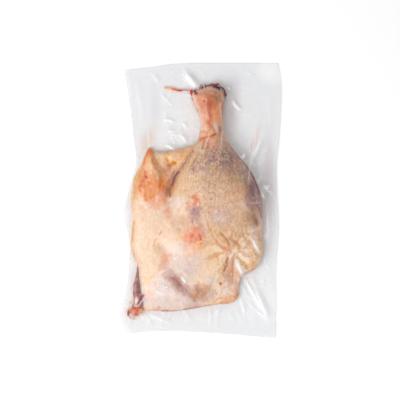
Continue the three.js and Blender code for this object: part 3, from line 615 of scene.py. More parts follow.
SINEW = {
    "path": [
        (-35.2, 107.3), (-31, 106.6), (-26, 105.6), (-20.5, 104.4), (-15, 104.9), (-9.5, 104), (-6, 101.5),
    ],
    "thickness": 2.8, "flatness": 0.65, "thinner_to_root": 0.62, "tip": 0.22, "sides": 10,
    "waver": {"amount": 0.25, "size": 2.5, "layer": 90.5},
}
SINEW_BASE = MELON
SINEW_STROKES = {
    "tip": Stroke([(-35.5, 107.3), (-31, 106.6)], 4, PEACH),
    "red core": Stroke([(-26, 105.4), (-20, 104.3)], 1.4, SCARLET, 0.6),
    "red end": Stroke([(-20.4, 104.2), (-17.4, 104)], 2.6, CRIMSON, 0.95),
    "pale end": Stroke([(-15, 104.9), (-9, 104)], 3, PINK, 0.9),
}

# Small lumps at random places along a path
Crumbs = namedtuple("Crumbs", "seed count path spread radii paints")
SCRAP_CRUMBS = Crumbs(
    3, 80, [(-67.5, -107), (-63.5, -104.4), (-60.6, -106.4), (-55.5, -104.4)], 1.8, (0.3, 0.8),
    (SALMON, PINK, PALE_CORAL, PEACH, ROSE, MILKY_PINK),
)
HOCK_CRUMBS = Crumbs(
    8, 46, [(-5, 104.2), (0, 106.4), (6, 107.8), (12, 109.2), (18, 106.8), (22.4, 103.8)], 0.8, (0.4, 1),
    (CRIMSON, DULL_RED, OXBLOOD, BLACKBERRY, GREY_ROSE, PORCELAIN),
)
HOCK_LUMPS = {
    "left knob": Lump((-8.5, 102), (1.7, 2.6), 10, CRIMSON),
    "left spot": Lump((-5.5, 103), (1.3, 1.1), 0, DUSK),
    "left rim": Lump((-4.5, 100.9), (1.7, 1.6), 0, DULL_RED),
    "first flesh": Lump((-0.1, 107), (1.6, 1.1), 10, DULL_RED),
    "first nib": Lump((0.3, 109.5), (1.1, 0.9), 0, DULL_RED),
    "first clot": Lump((2.4, 107), (2, 0.9), 12, WINE),
    "grey rim": Lump((5.6, 108), (2.2, 0.9), 14, WINE),
    "grey rim right": Lump((9, 109), (2.2, 1), 14, OXBLOOD),
    "red nib": Lump((11, 110.2), (1.8, 0.9), 0, CRIMSON),
    "black clot": Lump((13.6, 108.8), (2, 1.4), -10, BLACKBERRY),
    "black clot below": Lump((14.8, 107), (2.2, 1.4), -18, BLACKBERRY),
    "dark clot": Lump((17, 106.6), (2, 1.3), -20, BLACKBERRY),
    "upper nib": Lump((15.7, 110.2), (1.8, 0.9), 8, CRIMSON),
    "purple clot": Lump((18.8, 105.4), (1.6, 1.2), -30, PLUM),
    "right nib": Lump((18.2, 108.4), (1.4, 1), -20, BLOOD),
    "maroon rim": Lump((21.4, 104.6), (1.6, 3), 30, OXBLOOD),
    "maroon rim low": Lump((23.2, 101.2), (1.3, 2.8), 10, OXBLOOD),
    "brown core": Lump((3.4, 93.2), (0.9, 0.8), 0, DEEP_RUST),
}
LUMP_HEIGHT = 1.2
LUMP_LIFT = 0.5
LUMP_RUGGED = {"size": 0.7, "amount": 0.45}

# The underside, a guess: lean meat inside a rim of skin, with the thigh bone's joint
UNDER_BASE = WINE
UNDER_PATCHES = {
    "thigh muscle": Patch((-14, -40), (34, 40), WINE),
    "calf muscle": Patch((20, 0), (30, 46), WINE),
    "shank": Patch((8, 78), (16, 30), CLAY, 1, 0, 0.3),
    "fat by the flap": Patch((-52, -10), (9, 44), PARCHMENT, 0.9),
    "lower fat": Patch((-14, -96), (46, 9), PARCHMENT, 0.9),
    "knee fat": Patch((-12, 22), (12, 9), SAND, 0.8),
    "saddle fat": Patch((-26, 40), (22, 8), SAND, 0.9),
    "joint": Patch((-30, -70), (9, 8), CHALK, 0.8),
}
UNDER_STROKES = {
    "seam": Stroke([(-18, 30), (-10, 8), (4, -16), (12, -42), (8, -70)], 2.2, MAUVE, 0.6),
    "seam side": Stroke([(-6, 4), (-24, -16), (-34, -44)], 1.6, GREY_TAN, 0.5),
    "bone": Stroke([(10, 60), (14, 30), (16, 4)], 4, CINNAMON, 0.5),
}
UNDER_RIM = {"width": 9, "fade": 5, "waver": 4, "size": 14, "layer": 60.5, "colour": CREAM}

# How finely the surfaces are divided
OUTLINE_STEP = 1.0
EDGE_STEP = 1.5
SPLINE_STEPS = 8
SKIN_SPACING = 0.72
UNDERSIDE_SPACING = 1.7
FILM_SPACING = 0.9
LOWER_FILM_SPACING = 2
SMALL_STEP = 0.6
HONEYCOMB = math.sqrt(3) / 2
# Rings of points just inside an outline, closer together towards it, where the side is steep
SIDE_RINGS = 4.6 * (np.arange(1, 11) / 10) ** 2
UNDER_RINGS = 5 * (np.arange(1, 7) / 6) ** 2
SMALL_RINGS = 1.6 * (np.arange(1, 5) / 4) ** 2
RING_KEPT = 0.93
INSIDE_ONLY = 1
LUMP_SUBDIVISIONS = 3
TINY = 1e-6
# How far from its path a line or a stroke is still worked out, in widths
LINE_REACH = 3
STROKE_REACH = 2
# The curve of display values: a straight start up to the knee, and a power above it
SRGB_KNEE = 0.04045
SRGB_SLOPE = 12.92
SRGB_OFFSET = 0.055
SRGB_POWER = 2.4
# Noise: each octave has waves half as long as the one before and, by the falloff, half as high
NOISE_FALLOFF = 1
OCTAVE_RATIO = 2
FINE_OCTAVES = 2
BROAD_OCTAVES = 3

# The film as it is: two thin layers, welded along the edges
FILM = {"half_gap": 0.28, "half_weld": 0.1, "clearance": 0.25, "under": 0.3}
FILM_TINT = (0.934, 0.936, 0.94)
# Painted shade: the film is tinted darker beside the tall meat, where the leg shades the table below
PAINTED_SHADE_TINT = (0.83, 0.792, 0.806)
PAINTED_SHADE_ZONES = {
    "right of the shank": Patch((29, 84), (6, 24), None, 1.0, -6, 0.9),
    "right of the calf": Patch((65, 14), (5, 40), None, 0.9, 0, 0.9),
    "beside the flap": Patch((-70, -52), (5, 22), None, 0.2, 0, 0.9),
    "left of the shank": Patch((-44, 88), (4, 19), None, 0.3, 0, 0.9),
    "left of the peak": Patch((-53, 55), (3.5, 9), None, 0.35, 10, 0.9),
}
# Blood in the film, and above the peak a painted reflection of the orange skin
BLOOD_AND_REFLECTION_TINT = (0.94, 0.66, 0.5)
BLOOD_AND_REFLECTION_ZONES = {
    "round the scrap": Patch((-61, -106), (9, 5), None, 0.4, 10, 0.9),
    "left of the scrap": Patch((-69, -108), (3, 3), None, 0.3, 0, 0.9),
    "beside the strip": Patch((-67, -92), (3, 14), None, 0.1, 0, 0.9),
    "beside the flap": Patch((-70, -52), (4, 22), None, 0.08, 0, 0.9),
    # Painted reflection of the orange peak in the film
    "above the peak": Patch((-50.5, 57), (5, 12), None, 0.26, -24, 0.9),
    "right of the calf": Patch((51.5, 58), (1.5, 17), None, 0.34, -18, 0.9),
    "above the hock": Patch((16, 111), (4, 2), None, 0.25, 0, 0.9),
}
# Where the film is lighter, its tint mixed towards white
LIGHTER_FILM_ZONES = {
    # Painted highlight at the top right corner of the film
    "top right corner": Patch((65, 122), (11, 8), None, 1, -30, 0.8),
    "corner fan": Patch((60, -92), (10, 20), None, 0.5, 12, 1),
    "beside the strip": Patch((-72, -92), (4, 16), None, 0.4, 0, 1),
}
FILM_VEIL = 0.036
MILKINESS = 0.9
HEAD_ON_MIRROR = 0.014
GRAZING_MIRROR = 0.2
# Milkiness of the film; along the creases, by their rise, it is a painted highlight
HAZE_GLINT = {"everywhere": 0.006, "weld": 0.05, "crumples": 0.08, "glint_for_rise": 0.85}
COLOUR_WANDER = {"size": 7, "reach": 2.2, "layers": (40.5, 50.5), "for_strokes": 0.45}

# Patterns in the colour of the skin: noise in waves of a size in millimetres, stretched along the leg. They
# show fully above the higher of two levels of the noise, and not at all below the lower one.
Pattern = namedtuple("Pattern", "size low high stretch detail roughness distortion", defaults=(1, 3, 0.6, 0))
Fleck = namedtuple("Fleck", "pattern amount paint where blend", defaults=(None, "MIX"))
SKIN_FLECKS = {
    "warm": Fleck(Pattern(2.3, 0.47, 0.68, 2.2, 3, 0.65), 0.3, (255, 214, 176), blend="MULTIPLY"),
    "pale": Fleck(Pattern(1.7, 0.5, 0.68, 2.4, 3, 0.65), 0.5, (255, 240, 224), blend="SOFT_LIGHT"),
    "grey": Fleck(Pattern(7, 0.45, 0.58, 1.3, 4, 0.7, 1.2), 0.6, (130, 106, 112), "grey"),
    "lace": Fleck(Pattern(3, 0.52, 0.62, 1.5, 3, 0.6, 1), 0.55, (236, 212, 184), "grey"),
    "pores": Fleck(Pattern(6, 0.35, 0.55, 1, 2, 0.5), 0.5, (142, 96, 76), "follicles"),
    "vessels": Fleck(Pattern(2.8, 0.53, 0.62, 1, 4, 0.7, 0.8), 0.5, (218, 92, 32), "blood"),
    "fibres": Fleck(Pattern(1, 0.35, 0.65, 8, 2, 0.5), 0.45, (96, 30, 36), "lean"),
}
PORES = {"size": 3.4, "stretch": 1.3, "rim": 0.3, "core": 0.12}
# Lighter and darker blotches, some of them stronger where follicles show
Mottling = namedtuple("Mottling", "size amount for_follicles stretch", defaults=(0, 1))
MOTTLING_LEVELS = (0.3, 0.7)
SKIN_MOTTLING = [Mottling(5, 0.16), Mottling(2.2, 0.08, 0.2, 2.2)]
FINE_MOTTLING = Mottling(1, 0.14, 0.2, 2)
MEAT_MOTTLING = [Mottling(4, 0.6), Mottling(4 / 3, 0.4)]
# Surfaces: bumps of a size and a depth in millimetres, and roughness
SKIN_BUMPS = {"size": 0.9, "stretch": 1.6, "strength": 0.5, "depth": 0.25}
SKIN_ROUGHNESS = {"size": 5, "least": 0.22, "more": 0.3}
MEAT_BUMPS = {"size": 2, "strength": 0.6, "depth": 0.3}
MEAT_ROUGHNESS = 0.35
FILM_BUMPS = {"size": 4, "strength": 0.4, "depth": 0.15}
FILM_ROUGHNESS = 0.3
FILM_MILK = (0.95, 0.95, 0.96, 1)
FACING_BLEND = 0.5
FACING_POWER = 5
SKIN_SHADING = {
    "IOR": 1.4, "Subsurface Weight": 0.2, "Subsurface Radius": (1, 0.4, 0.25), "Subsurface Scale": 1.5 * MM,
}
MEAT_SHADING = {
    "Specular IOR Level": 0.15, "Subsurface Weight": 0.15, "Subsurface Radius": (1, 0.3, 0.2),
    "Subsurface Scale": 1.5 * MM,
}
WHITE = (1, 1, 1, 1)

# Small creases of the film that no path draws
CRUMPLE = {
    "size": 7, "layer": 7.5, "sharpness": 8, "reach": 14, "far": 0.2, "near": 0.5, "over_meat": 0.14,
}
SCATTER = {
    "seed": 7, "tries": 360, "nearest": 1, "furthest": 30, "turn": 0.6, "length": (5, 20), "bend": 0.12,
    "rise": (0.08, 0.42), "width": (0.8, 2.4),
}
CREASE_FADE = 5
CREASES_FOLLOWED = 0.6
LOWER_FOLLOWS = 0.5
# The film rises over what lies loose beside the meat, above and below alike
BULGES = {
    "sinew": Line(
        [(-36, 107.3), (-31, 106.6), (-26, 105.6), (-20.5, 104.4), (-15, 104.9), (-8, 104)], 1.1, 2.4
    ),
    "hock remains": Line([(-3, 103), (2, 107.5), (12, 108.5), (19, 106.5), (22.5, 101)], 1, 3),
}
Undulation = namedtuple("Undulation", "size height octaves layer less_on_calf")
UNDULATIONS = {
    "broad": Undulation(16, 0.5, 2, 11.5, 0.3),
    "puckers": Undulation(5, 0.28, 2, 21.5, 0.2),
    "grain": Undulation(1.9, 0.1, 1, 31.5, -1),
}

# The table, the light and the camera, in metres, degrees and watts
FLOOR = {"size": 6, "below": 0.0002, "white": 0.95}
SKY_STRENGTH = 0.52
SoftLight = namedtuple("SoftLight", "size heading elevation watts")
LIGHTS = {
    "key": SoftLight(0.9, 212, 56, 10),
    "back": SoftLight(0.5, 95, 52, 1.2),
    "right": SoftLight(0.5, 340, 52, 1.2),
}
LIGHT_DISTANCE = 1.2
# The photo's frame is 400 pixels of 0.95 mm wide, and a little left of the pouch's middle
CAMERA = {"lens": 150, "sensor": 36, "over": (-0.7, 0.2), "height": 1.59}


def smooth_step(t):
    t = np.clip(t, 0, 1)
    return t * t * (3 - 2 * t)


def spline(points, closed):
    """Points of a smooth line through the given ones: centripetal if it closes, else evenly weighted."""
    points = np.asarray(points, float)
    ends = (points[-1:], points[:2]) if closed else (points[:1], points[-1:])
    padded = np.vstack([ends[0], points, ends[1]])
    t = np.linspace(0, 1, SPLINE_STEPS, endpoint=False)[:, None]
    found = []
    for p0, p1, p2, p3 in zip(padded, padded[1:], padded[2:], padded[3:]):
        pairs = ((p0, p1), (p1, p2), (p2, p3))
        d0, d1, d2 = (math.sqrt(math.dist(a, b)) if closed else 1 for a, b in pairs)
        leaving = (p2 - p1) + d1 * ((p1 - p0) / d0 - (p2 - p0) / (d0 + d1))
        arriving = (p2 - p1) + d1 * ((p3 - p2) / d2 - (p3 - p1) / (d1 + d2))
        found.append(
            (2 * t**3 - 3 * t**2 + 1) * p1 + (t**3 - 2 * t**2 + t) * leaving
            + (3 * t**2 - 2 * t**3) * p2 + (t**3 - t**2) * arriving
        )
    if not closed:
        found.append(points[-1:])
    return np.vstack(found)


def even_steps(line, step):
    """The closed line, as a polygon with sides of about the given length."""
    ring = np.vstack([line, line[:1]])
    travelled = np.concatenate([[0], np.cumsum(np.hypot(*np.diff(ring, axis=0).T))])
    marks = np.linspace(0, travelled[-1], round(travelled[-1] / step), endpoint=False)
    return np.column_stack([np.interp(marks, travelled, ring[:, axis]) for axis in (0, 1)])


def to_stretch(places, a, b):
    """Distance of each place from a straight stretch, and how far along it the nearest point lies."""
    run = b - a
    share = np.clip(np.sum((places - a) * run, axis=-1) / np.maximum(np.sum(run * run, axis=-1), TINY), 0, 1)
    return np.hypot(*(places - a - share[:, None] * run).T), share


class Outline:
    """A closed line seen from above, clockwise."""

    def __init__(self, line, step):
        self.polygon = even_steps(line, step)
        self.tree = kdtree.KDTree(len(self.polygon))
        for number, (x, y) in enumerate(self.polygon):
            self.tree.insert((x, y, 0), number)
        self.tree.balance()

    def nearest_corner(self, places):
        return np.array([self.tree.find((x, y, 0))[1] for x, y in places])

    def depth(self, places):
        """Distance of each place from the line: positive inside it, negative outside."""
        corner = self.nearest_corner(places)
        before, here, after = (np.roll(self.polygon, shift, axis=0)[corner] for shift in (1, 0, -1))
        arriving, leaving = to_stretch(places, before, here)[0], to_stretch(places, here, after)[0]
        start = np.where((leaving < arriving)[:, None], here, before)
        end = np.where((arriving < leaving)[:, None], here, after)
        run, away = end - start, places - start
        on_the_right = run[:, 0] * away[:, 1] < run[:, 1] * away[:, 0]
        return np.where(on_the_right, 1, -1) * np.minimum(arriving, leaving)

    def away_from(self, places):
        """The direction from the nearest corner of the line to each place."""
        run = places - self.polygon[self.nearest_corner(places)]
        return run / np.maximum(np.hypot(*run.T), TINY)[:, None]

    def rings(self, depths):
        """Places straight in from the polygon's corners, at each depth, where there is room for them."""
        along = np.roll(self.polygon, -1, axis=0) - np.roll(self.polygon, 1, axis=0)
        inward = np.column_stack([along[:, 1], -along[:, 0]]) / np.hypot(*along.T)[:, None]
        found = []
        for depth in depths:
            places = self.polygon + depth * inward
            found.append(places[self.depth(places) > RING_KEPT * depth])
        return np.vstack(found)

    def honeycomb(self, spacing):
        """Places in staggered rows over the box round the line."""
        (left, low), (right, high) = self.polygon.min(axis=0), self.polygon.max(axis=0)
        rows = np.arange(low, high, spacing * HONEYCOMB)
        columns = np.arange(left, right, spacing)
        return np.array([(x + spacing / 2 * (row % 2), y) for row, y in enumerate(rows) for x in columns])

    def filling(self, spacing, ring_depths):
        """Places inside the line: rings along it, and a honeycomb further in."""
        middle = self.honeycomb(spacing)
        further_in = self.depth(middle) > ring_depths[-1] + spacing / 2
        return np.vstack([self.rings(ring_depths), middle[further_in]])


def to_path(places, path, reach):
    """Distance of each place from a smooth path, infinite beyond reach, and its share of the path."""
    line = spline(path, closed=False)
    beside = (places > line.min(axis=0) - reach) & (places < line.max(axis=0) + reach)
    near = np.flatnonzero(beside.all(axis=1))
    best = np.full(len(near), np.inf)
    along = np.zeros(len(near))
    for step, (a, b) in enumerate(zip(line, line[1:])):
        from_stretch, part = to_stretch(places[near], a, b)
        closer = from_stretch < best
        best = np.where(closer, from_stretch, best)
        along = np.where(closer, (step + part) / (len(line) - 1), along)
    distance = np.full(len(places), np.inf)
    share = np.full(len(places), 0.5)
    distance[near] = best
    share[near] = along
    return distance, share


def line_rise(line, places):
    """The rise of a crease, ridge or fold at each place. It fades out towards both ends of its path."""
    distance, share = to_path(places, line.path, LINE_REACH * line.width)
    fade = np.sqrt(np.sin(math.pi * np.clip(share, LINE_END, 1 - LINE_END)))
    return line.rise * fade * np.exp(-((distance / line.width) ** 2))


def total_rise(lines, places):
    return sum(line_rise(line, places) for line in lines.values())


def meat_relief(places):
    """Creases and ridges of the meat as the film takes them: it spans the creases in part."""
    relief = total_rise(MEAT_LINES, places)
    return np.maximum(relief, 0) + CREASES_FOLLOWED * np.minimum(relief, 0)


def waves_at(spots, octaves):
    """Smooth noise from about -1 to 1 at each (x, y, z)."""
    return np.array([noise.fractal(Vector(spot), NOISE_FALLOFF, OCTAVE_RATIO, octaves) for spot in spots])


def ripple(places, size, octaves, layer, heights=0):
    """Smooth noise in waves of about the given size. Layers differ from each other."""
    layers = np.broadcast_to(layer + np.asarray(heights) / size, len(places))
    return waves_at(np.column_stack([places / size, layers]), octaves)


def mass_height(places):
    """Height of the meat's masses above the table, before the sides are rounded."""
    total = THINNEST_MEAT**BLEND
    for mound in MOUNDS.values():
        q = np.sum(((places - mound.at) / mound.radii) ** 2, axis=1)
        total = total + (mound.height * 2.0 ** -(q**mound.flatness)) ** BLEND
    return total ** (1 / BLEND)


def rim_height(places):
    """Height of the line round the meat where the upper and the lower film meet."""
    return RIM["base"] + RIM["growth"] * mass_height(places)


def rounded(distance, width):
    """A quarter circle that rises from 0 at the rim to 1 at the given width."""
    return np.sqrt(1 - (1 - np.clip(distance / width, 0, 1)) ** 2)


def round_over(places, depth):
    mass = mass_height(places)
    rim = rim_height(places)
    width = np.clip(UPPER_ROUND["growth"] * mass, UPPER_ROUND["least"], UPPER_ROUND["most"])
    return rim + (mass - rim) * rounded(depth, width)


def round_under(places, depth):
    rim = rim_height(places)
    width = LOWER_ROUND["base"] + LOWER_ROUND["growth"] * rim
    return (rim - BORDER["thickness"] / 2) * (1 - rounded(depth, width))


def border_middle(places, outside):
    """Height of the middle of the border, between its two layers."""
    x, y = places.T
    flat = BORDER["height"]
    for wave in BORDER_WAVES:
        flat = flat + wave.height * np.sin(x / wave.across_x + y / wave.along_y + wave.phase)
    for curl in CURLS.values():
        flat = flat + curl.rise * np.exp(-np.sum((places - curl.at) ** 2, axis=1) / curl.reach**2)
    return flat + (rim_height(places) - flat) * np.exp(-((outside / SHOULDER) ** 2))


contents = Outline(spline(CONTENTS_OUTLINE, closed=True), OUTLINE_STEP)
skin = Outline(spline(SKIN_OUTLINE, closed=True), OUTLINE_STEP)
top_edge, right_edge, bottom_edge, left_edge = (
    spline(points, closed=False) for points in (TOP_EDGE, RIGHT_EDGE, BOTTOM_EDGE, LEFT_EDGE)
)
pouch = Outline(
    np.vstack([top_edge[:-1], right_edge[:-1], bottom_edge[:0:-1], left_edge[:0:-1]]), EDGE_STEP
)


def weld_share(places):
    """1 in the welded band along the pouch's edges, fading to 0 inside it."""
    return 1 - smooth_step(0.5 + (pouch.depth(places) - SEAL["width"]) / SEAL["fade"])


def scattered_creases():
    """Short creases at random places in the border. Most point away from the meat."""
    rng = np.random.default_rng(SCATTER["seed"])
    places = rng.uniform(pouch.polygon.min(axis=0), pouch.polygon.max(axis=0), (SCATTER["tries"], 2))
    outside = -contents.depth(places)
    in_border = (outside > SCATTER["nearest"]) & (outside < SCATTER["furthest"])
    middles = places[in_border & (pouch.depth(places) > SEAL["width"])]
    headings = np.arctan2(*contents.away_from(middles).T[::-1]) + rng.normal(0, SCATTER["turn"], len(middles))
    lengths = rng.uniform(*SCATTER["length"], len(middles))
    bends = rng.normal(0, SCATTER["bend"], len(middles))
    rises = rng.uniform(*SCATTER["rise"], len(middles))
    widths = rng.uniform(*SCATTER["width"], len(middles))
    halves = lengths[:, None] / 2 * np.column_stack([np.cos(headings), np.sin(headings)])
    sides = bends[:, None] * np.column_stack([-halves[:, 1], halves[:, 0]])
    paths = np.stack([middles - halves, middles + sides, middles + halves], axis=1)
    return {number: Line(*line) for number, line in enumerate(zip(paths, rises, widths))}


scattered = scattered_creases()


def film_crumple(places, depth):
    """Small creases of the film that no path draws. Most lie in the border, close to the meat."""
    beside = np.exp(-((np.minimum(depth, 0) / CRUMPLE["reach"]) ** 2))
    over_meat = smooth_step(depth / COVER["fade"])
    amount = CRUMPLE["far"] + (CRUMPLE["near"] - CRUMPLE["far"]) * beside
    amount = amount + (CRUMPLE["over_meat"] - amount) * over_meat
    waves = ripple(places, CRUMPLE["size"], FINE_OCTAVES, CRUMPLE["layer"])
    ridges = (1 - np.abs(waves)) ** CRUMPLE["sharpness"]
    return amount * ridges


def upper_film(places):
    """Outer face of the upper film, without its small creases."""
    depth = contents.depth(places)
    from_edge = pouch.depth(places)
    inner = np.maximum(depth, 0)
    fillet = FILLET["rise"] * np.exp(-np.abs(depth) / FILLET["reach"])
    relief = meat_relief(places) * smooth_step(inner / RELIEF_FADE)
    thick = BORDER["thickness"] / 2
    cover = thick + (COVER["thickness"] - thick) * smooth_step(inner / COVER["fade"])
    over_meat = round_over(places, inner) + relief + cover + fillet
    half = FILM["half_gap"] + (FILM["half_weld"] - FILM["half_gap"]) * weld_share(places)
    rise = fillet * (1 + (thick - half) / FILLET["rise"])
    folds = total_rise(FILM_FOLDS, places) * smooth_step(from_edge / SEAL["width"])
    beside = border_middle(places, np.maximum(-depth, 0)) + half + rise + folds
    return np.where(depth < 0, beside, over_meat) + total_rise(BULGES, places)


def film_creases(places):
    """Rise of the small creases of the film, drawn and scattered, and of those that no path draws."""
    creases = total_rise(FILM_CREASES, places) + total_rise(scattered, places)
    small = creases + film_crumple(places, contents.depth(places))
    return small * smooth_step(pouch.depth(places) / CREASE_FADE)


def creased_film(places):
    return upper_film(places) + film_creases(places)


def lower_film(places):
    """Outer face of the lower film, flat on the table under the meat."""
    depth = contents.depth(places)
    half = FILM["half_gap"] + (FILM["half_weld"] - FILM["half_gap"]) * weld_share(places)
    beside = border_middle(places, np.maximum(-depth, 0)) - half
    beside = beside + LOWER_FOLLOWS * film_creases(places) * smooth_step(-depth / SHOULDER)
    hollow = total_rise(BULGES, places) * smooth_step(-depth / COVER["fade"])
    return np.where(depth < 0, beside - hollow, round_under(places, np.maximum(depth, 0)))


def gathered(gather, places):
    """Wrinkles that run out from a gathered place, from -1 in their valleys to 1."""
    wander = GATHER_WANDER["reach"] * ripple(
        places, GATHER_WANDER["size"], BROAD_OCTAVES, GATHER_WANDER["layer"]
    )
    run = places + wander[:, None] - gather.at
    radius = np.hypot(*run.T)
    nearest, furthest = gather.radii
    spread = gather.ridges / (2 * math.pi)
    around = spread * run / np.maximum(radius, TINY)[:, None]
    layers = gather.layer + GATHER_WANDER["along"] * radius / furthest
    waves = waves_at(np.column_stack([around, layers]), FINE_OCTAVES)
    fade = smooth_step(radius / nearest) * (1 - smooth_step((radius - nearest) / (furthest - nearest)))
    return np.clip(GATHER_CONTRAST * waves, -1, 1) * fade


def crepe(places):
    """Fine crossing wrinkles of loose skin: 1 in their valleys, 0 between them and where there are none."""
    waves = ripple(places, CREPE["size"], FINE_OCTAVES, CREPE["layer"])
    valleys = (1 - np.abs(waves)) ** CREPE["sharpness"]
    return valleys * weight_of_zones(CREPE_ZONES, places)


def skin_top(places):
    """The upper side of the leg, under the film."""
    depth = skin.depth(places)
    follicles = weight_of_zones(FOLLICLE_ZONES, places)
    relief = meat_relief(places) + total_rise(SKIN_FOLDS, places) - CREPE["depth"] * crepe(places)
    for gather in GATHERS.values():
        relief = relief + gather.rise * gathered(gather, places)
    for undulation in UNDULATIONS.values():
        height = undulation.height * (1 - undulation.less_on_calf * follicles)
        relief = relief + height * ripple(places, undulation.size, undulation.octaves, undulation.layer)
    height = round_over(places, np.maximum(depth, 0)) + relief * smooth_step(depth / RELIEF_FADE)
    return np.minimum(height, upper_film(places) - FILM["clearance"])


def skin_underside(places):
    return round_under(places, np.maximum(skin.depth(places), 0)) + FILM["under"]


def triangles(places, ring_count):
    """Faces over the places, inside the closed line made of the first ring_count of them."""
    ring = list(range(ring_count))
    made = geometry.delaunay_2d_cdt([Vector(p) for p in places], [], [ring], INSIDE_ONLY, TINY)
    origins = made[3]
    return [[origins[corner][0] for corner in face] for face in made[2]]


class Surface:
    """A closed surface of an upper and a lower side, which share the corners of an outline."""

    def __init__(self, outline, upper_places, lower_places):
        self.ring = outline.polygon
        self.upper_places = np.vstack([self.ring, upper_places])
        self.lower_places = np.vstack([self.ring, lower_places])

    def corners(self, rim, upper, lower):
        """All corners, from functions that give the height at each place."""
        count = len(self.ring)
        heights = np.concatenate([
            rim(self.ring), upper(self.upper_places[count:]), lower(self.lower_places[count:]),
        ])
        return np.column_stack([self.places(), heights])

    def places(self):
        return np.vstack([self.upper_places, self.lower_places[len(self.ring):]])

    def faces(self):
        count = len(self.ring)
        skipped = len(self.upper_places) - count
        upper = triangles(self.upper_places, count)
        lower = triangles(self.lower_places, count)
        moved = [[c if c < count else c + skipped for c in reversed(face)] for face in lower]
        return upper + moved


def patch_weight(patch, places):
    """How much of a patch's colour each place takes: all near its middle, half on its ellipse."""
    turn = math.radians(patch.turn)
    run_x, run_y = (places - patch.at).T
    across = (run_x * math.cos(turn) + run_y * math.sin(turn)) / patch.radii[0]
    along = (run_y * math.cos(turn) - run_x * math.sin(turn)) / patch.radii[1]
    out = (np.hypot(across, along) - 1) / (2 * patch.soft)
    return patch.strength * (1 - smooth_step(out + 0.5))


def stroke_weight(stroke, places):
    distance = to_path(places, stroke.path, STROKE_REACH * stroke.width)[0]
    return stroke.strength * 0.5 ** ((2 * distance / stroke.width) ** 2)


def weight_of_zones(zones, places):
    """The largest weight that any of the zones gives each place."""
    return np.max([patch_weight(zone, places) for zone in zones.values()], axis=0)


def painted(corners, base, patches, strokes, gathers=None):
    """Display colours from 0 to 255: the base, then the patches, the gathers' wrinkles and the strokes."""
    places, heights = corners[:, :2], corners[:, 2]
    colours = np.tile(np.array(base, float), (len(places), 1))
    wander = COLOUR_WANDER
    shift = [
        wander["reach"] * ripple(places, wander["size"], BROAD_OCTAVES, layer, heights)
        for layer in wander["layers"]
    ]
    moved = places + np.column_stack(shift)
    for patch in patches.values():
        colours += patch_weight(patch, moved)[:, None] * (np.array(patch.colour) - colours)
    # Painted shade in the wrinkles' valleys, painted light on their crests
    for gather in (gathers or {}).values():
        waves = gather.tint * gathered(gather, places)[:, None]
        colours += np.maximum(-waves, 0) * (np.array(WRINKLE_SHADE) - colours)
        colours += np.maximum(waves, 0) * (np.array(WRINKLE_HIGHLIGHT) - colours)
    for stroke in strokes.values():
        nudged = places + wander["for_strokes"] * (moved - places)
        colours += stroke_weight(stroke, nudged)[:, None] * (np.array(stroke.colour) - colours)
    return colours


def linear(display):
    """Display colours from 0 to 255 as linear light from 0 to 1."""
    share = np.clip(np.asarray(display, float) / 255, 0, 1)
    curve = ((share + SRGB_OFFSET) / (1 + SRGB_OFFSET)) ** SRGB_POWER
    return np.where(share <= SRGB_KNEE, share / SRGB_SLOPE, curve)


def under_film(display):
    """Light that the meat itself sends back, for display colours that it has when seen through the film."""
    return np.clip(linear(display) - FILM_VEIL, 0, 1)


def skin_colours(surface, corners):
    """Colours of the skin over the upper side, and of the lean meat within its rim on the lower side."""
    above, underneath = np.split(corners, [len(surface.upper_places)])
    upper = painted(above, SKIN_BASE, SKIN_PATCHES, SKIN_STROKES, GATHERS)
    # Painted shade in the valleys of the crepe wrinkles
    upper += CREPE["tint"] * crepe(surface.upper_places)[:, None] * (np.array(WRINKLE_SHADE) - upper)
    lower = painted(underneath, UNDER_BASE, UNDER_PATCHES, UNDER_STROKES)
    below = underneath[:, :2]
    waves = ripple(below, UNDER_RIM["size"], FINE_OCTAVES, UNDER_RIM["layer"])
    depth = skin.depth(below) + UNDER_RIM["waver"] * waves
    rim = 1 - smooth_step(0.5 + (depth - UNDER_RIM["width"]) / UNDER_RIM["fade"])
    lower += rim[:, None] * (np.array(UNDER_RIM["colour"]) - lower)
    return np.vstack([upper, lower])


def new_piece(name, corners, faces, material):
    """A smooth piece that moves with the pouch. Its corners are in millimetres."""
    mesh = bpy.data.meshes.new(name)
    mesh.from_pydata((corners * MM).tolist(), [], faces)
    mesh.update()
    mesh.shade_smooth()
    mesh.materials.append(material)
    piece = bpy.data.objects.new(name, mesh)
    bpy.context.scene.collection.objects.link(piece)
    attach(piece, BODY)
    return piece


def give_colours(piece, display):
    """Stores a colour for each corner, which the materials read as tint."""
    tint = piece.data.attributes.new("tint", "FLOAT_COLOR", "POINT")
    opaque = np.ones((len(display), 1))
    tint.data.foreach_set("color", np.hstack([under_film(display), opaque]).ravel().astype(np.float32))


def give_amounts(piece, name, amounts):
    """Stores a number for each corner, which the materials read by its name."""
    attribute = piece.data.attributes.new(name, "FLOAT", "POINT")
    attribute.data.foreach_set("value", amounts.astype(np.float32))


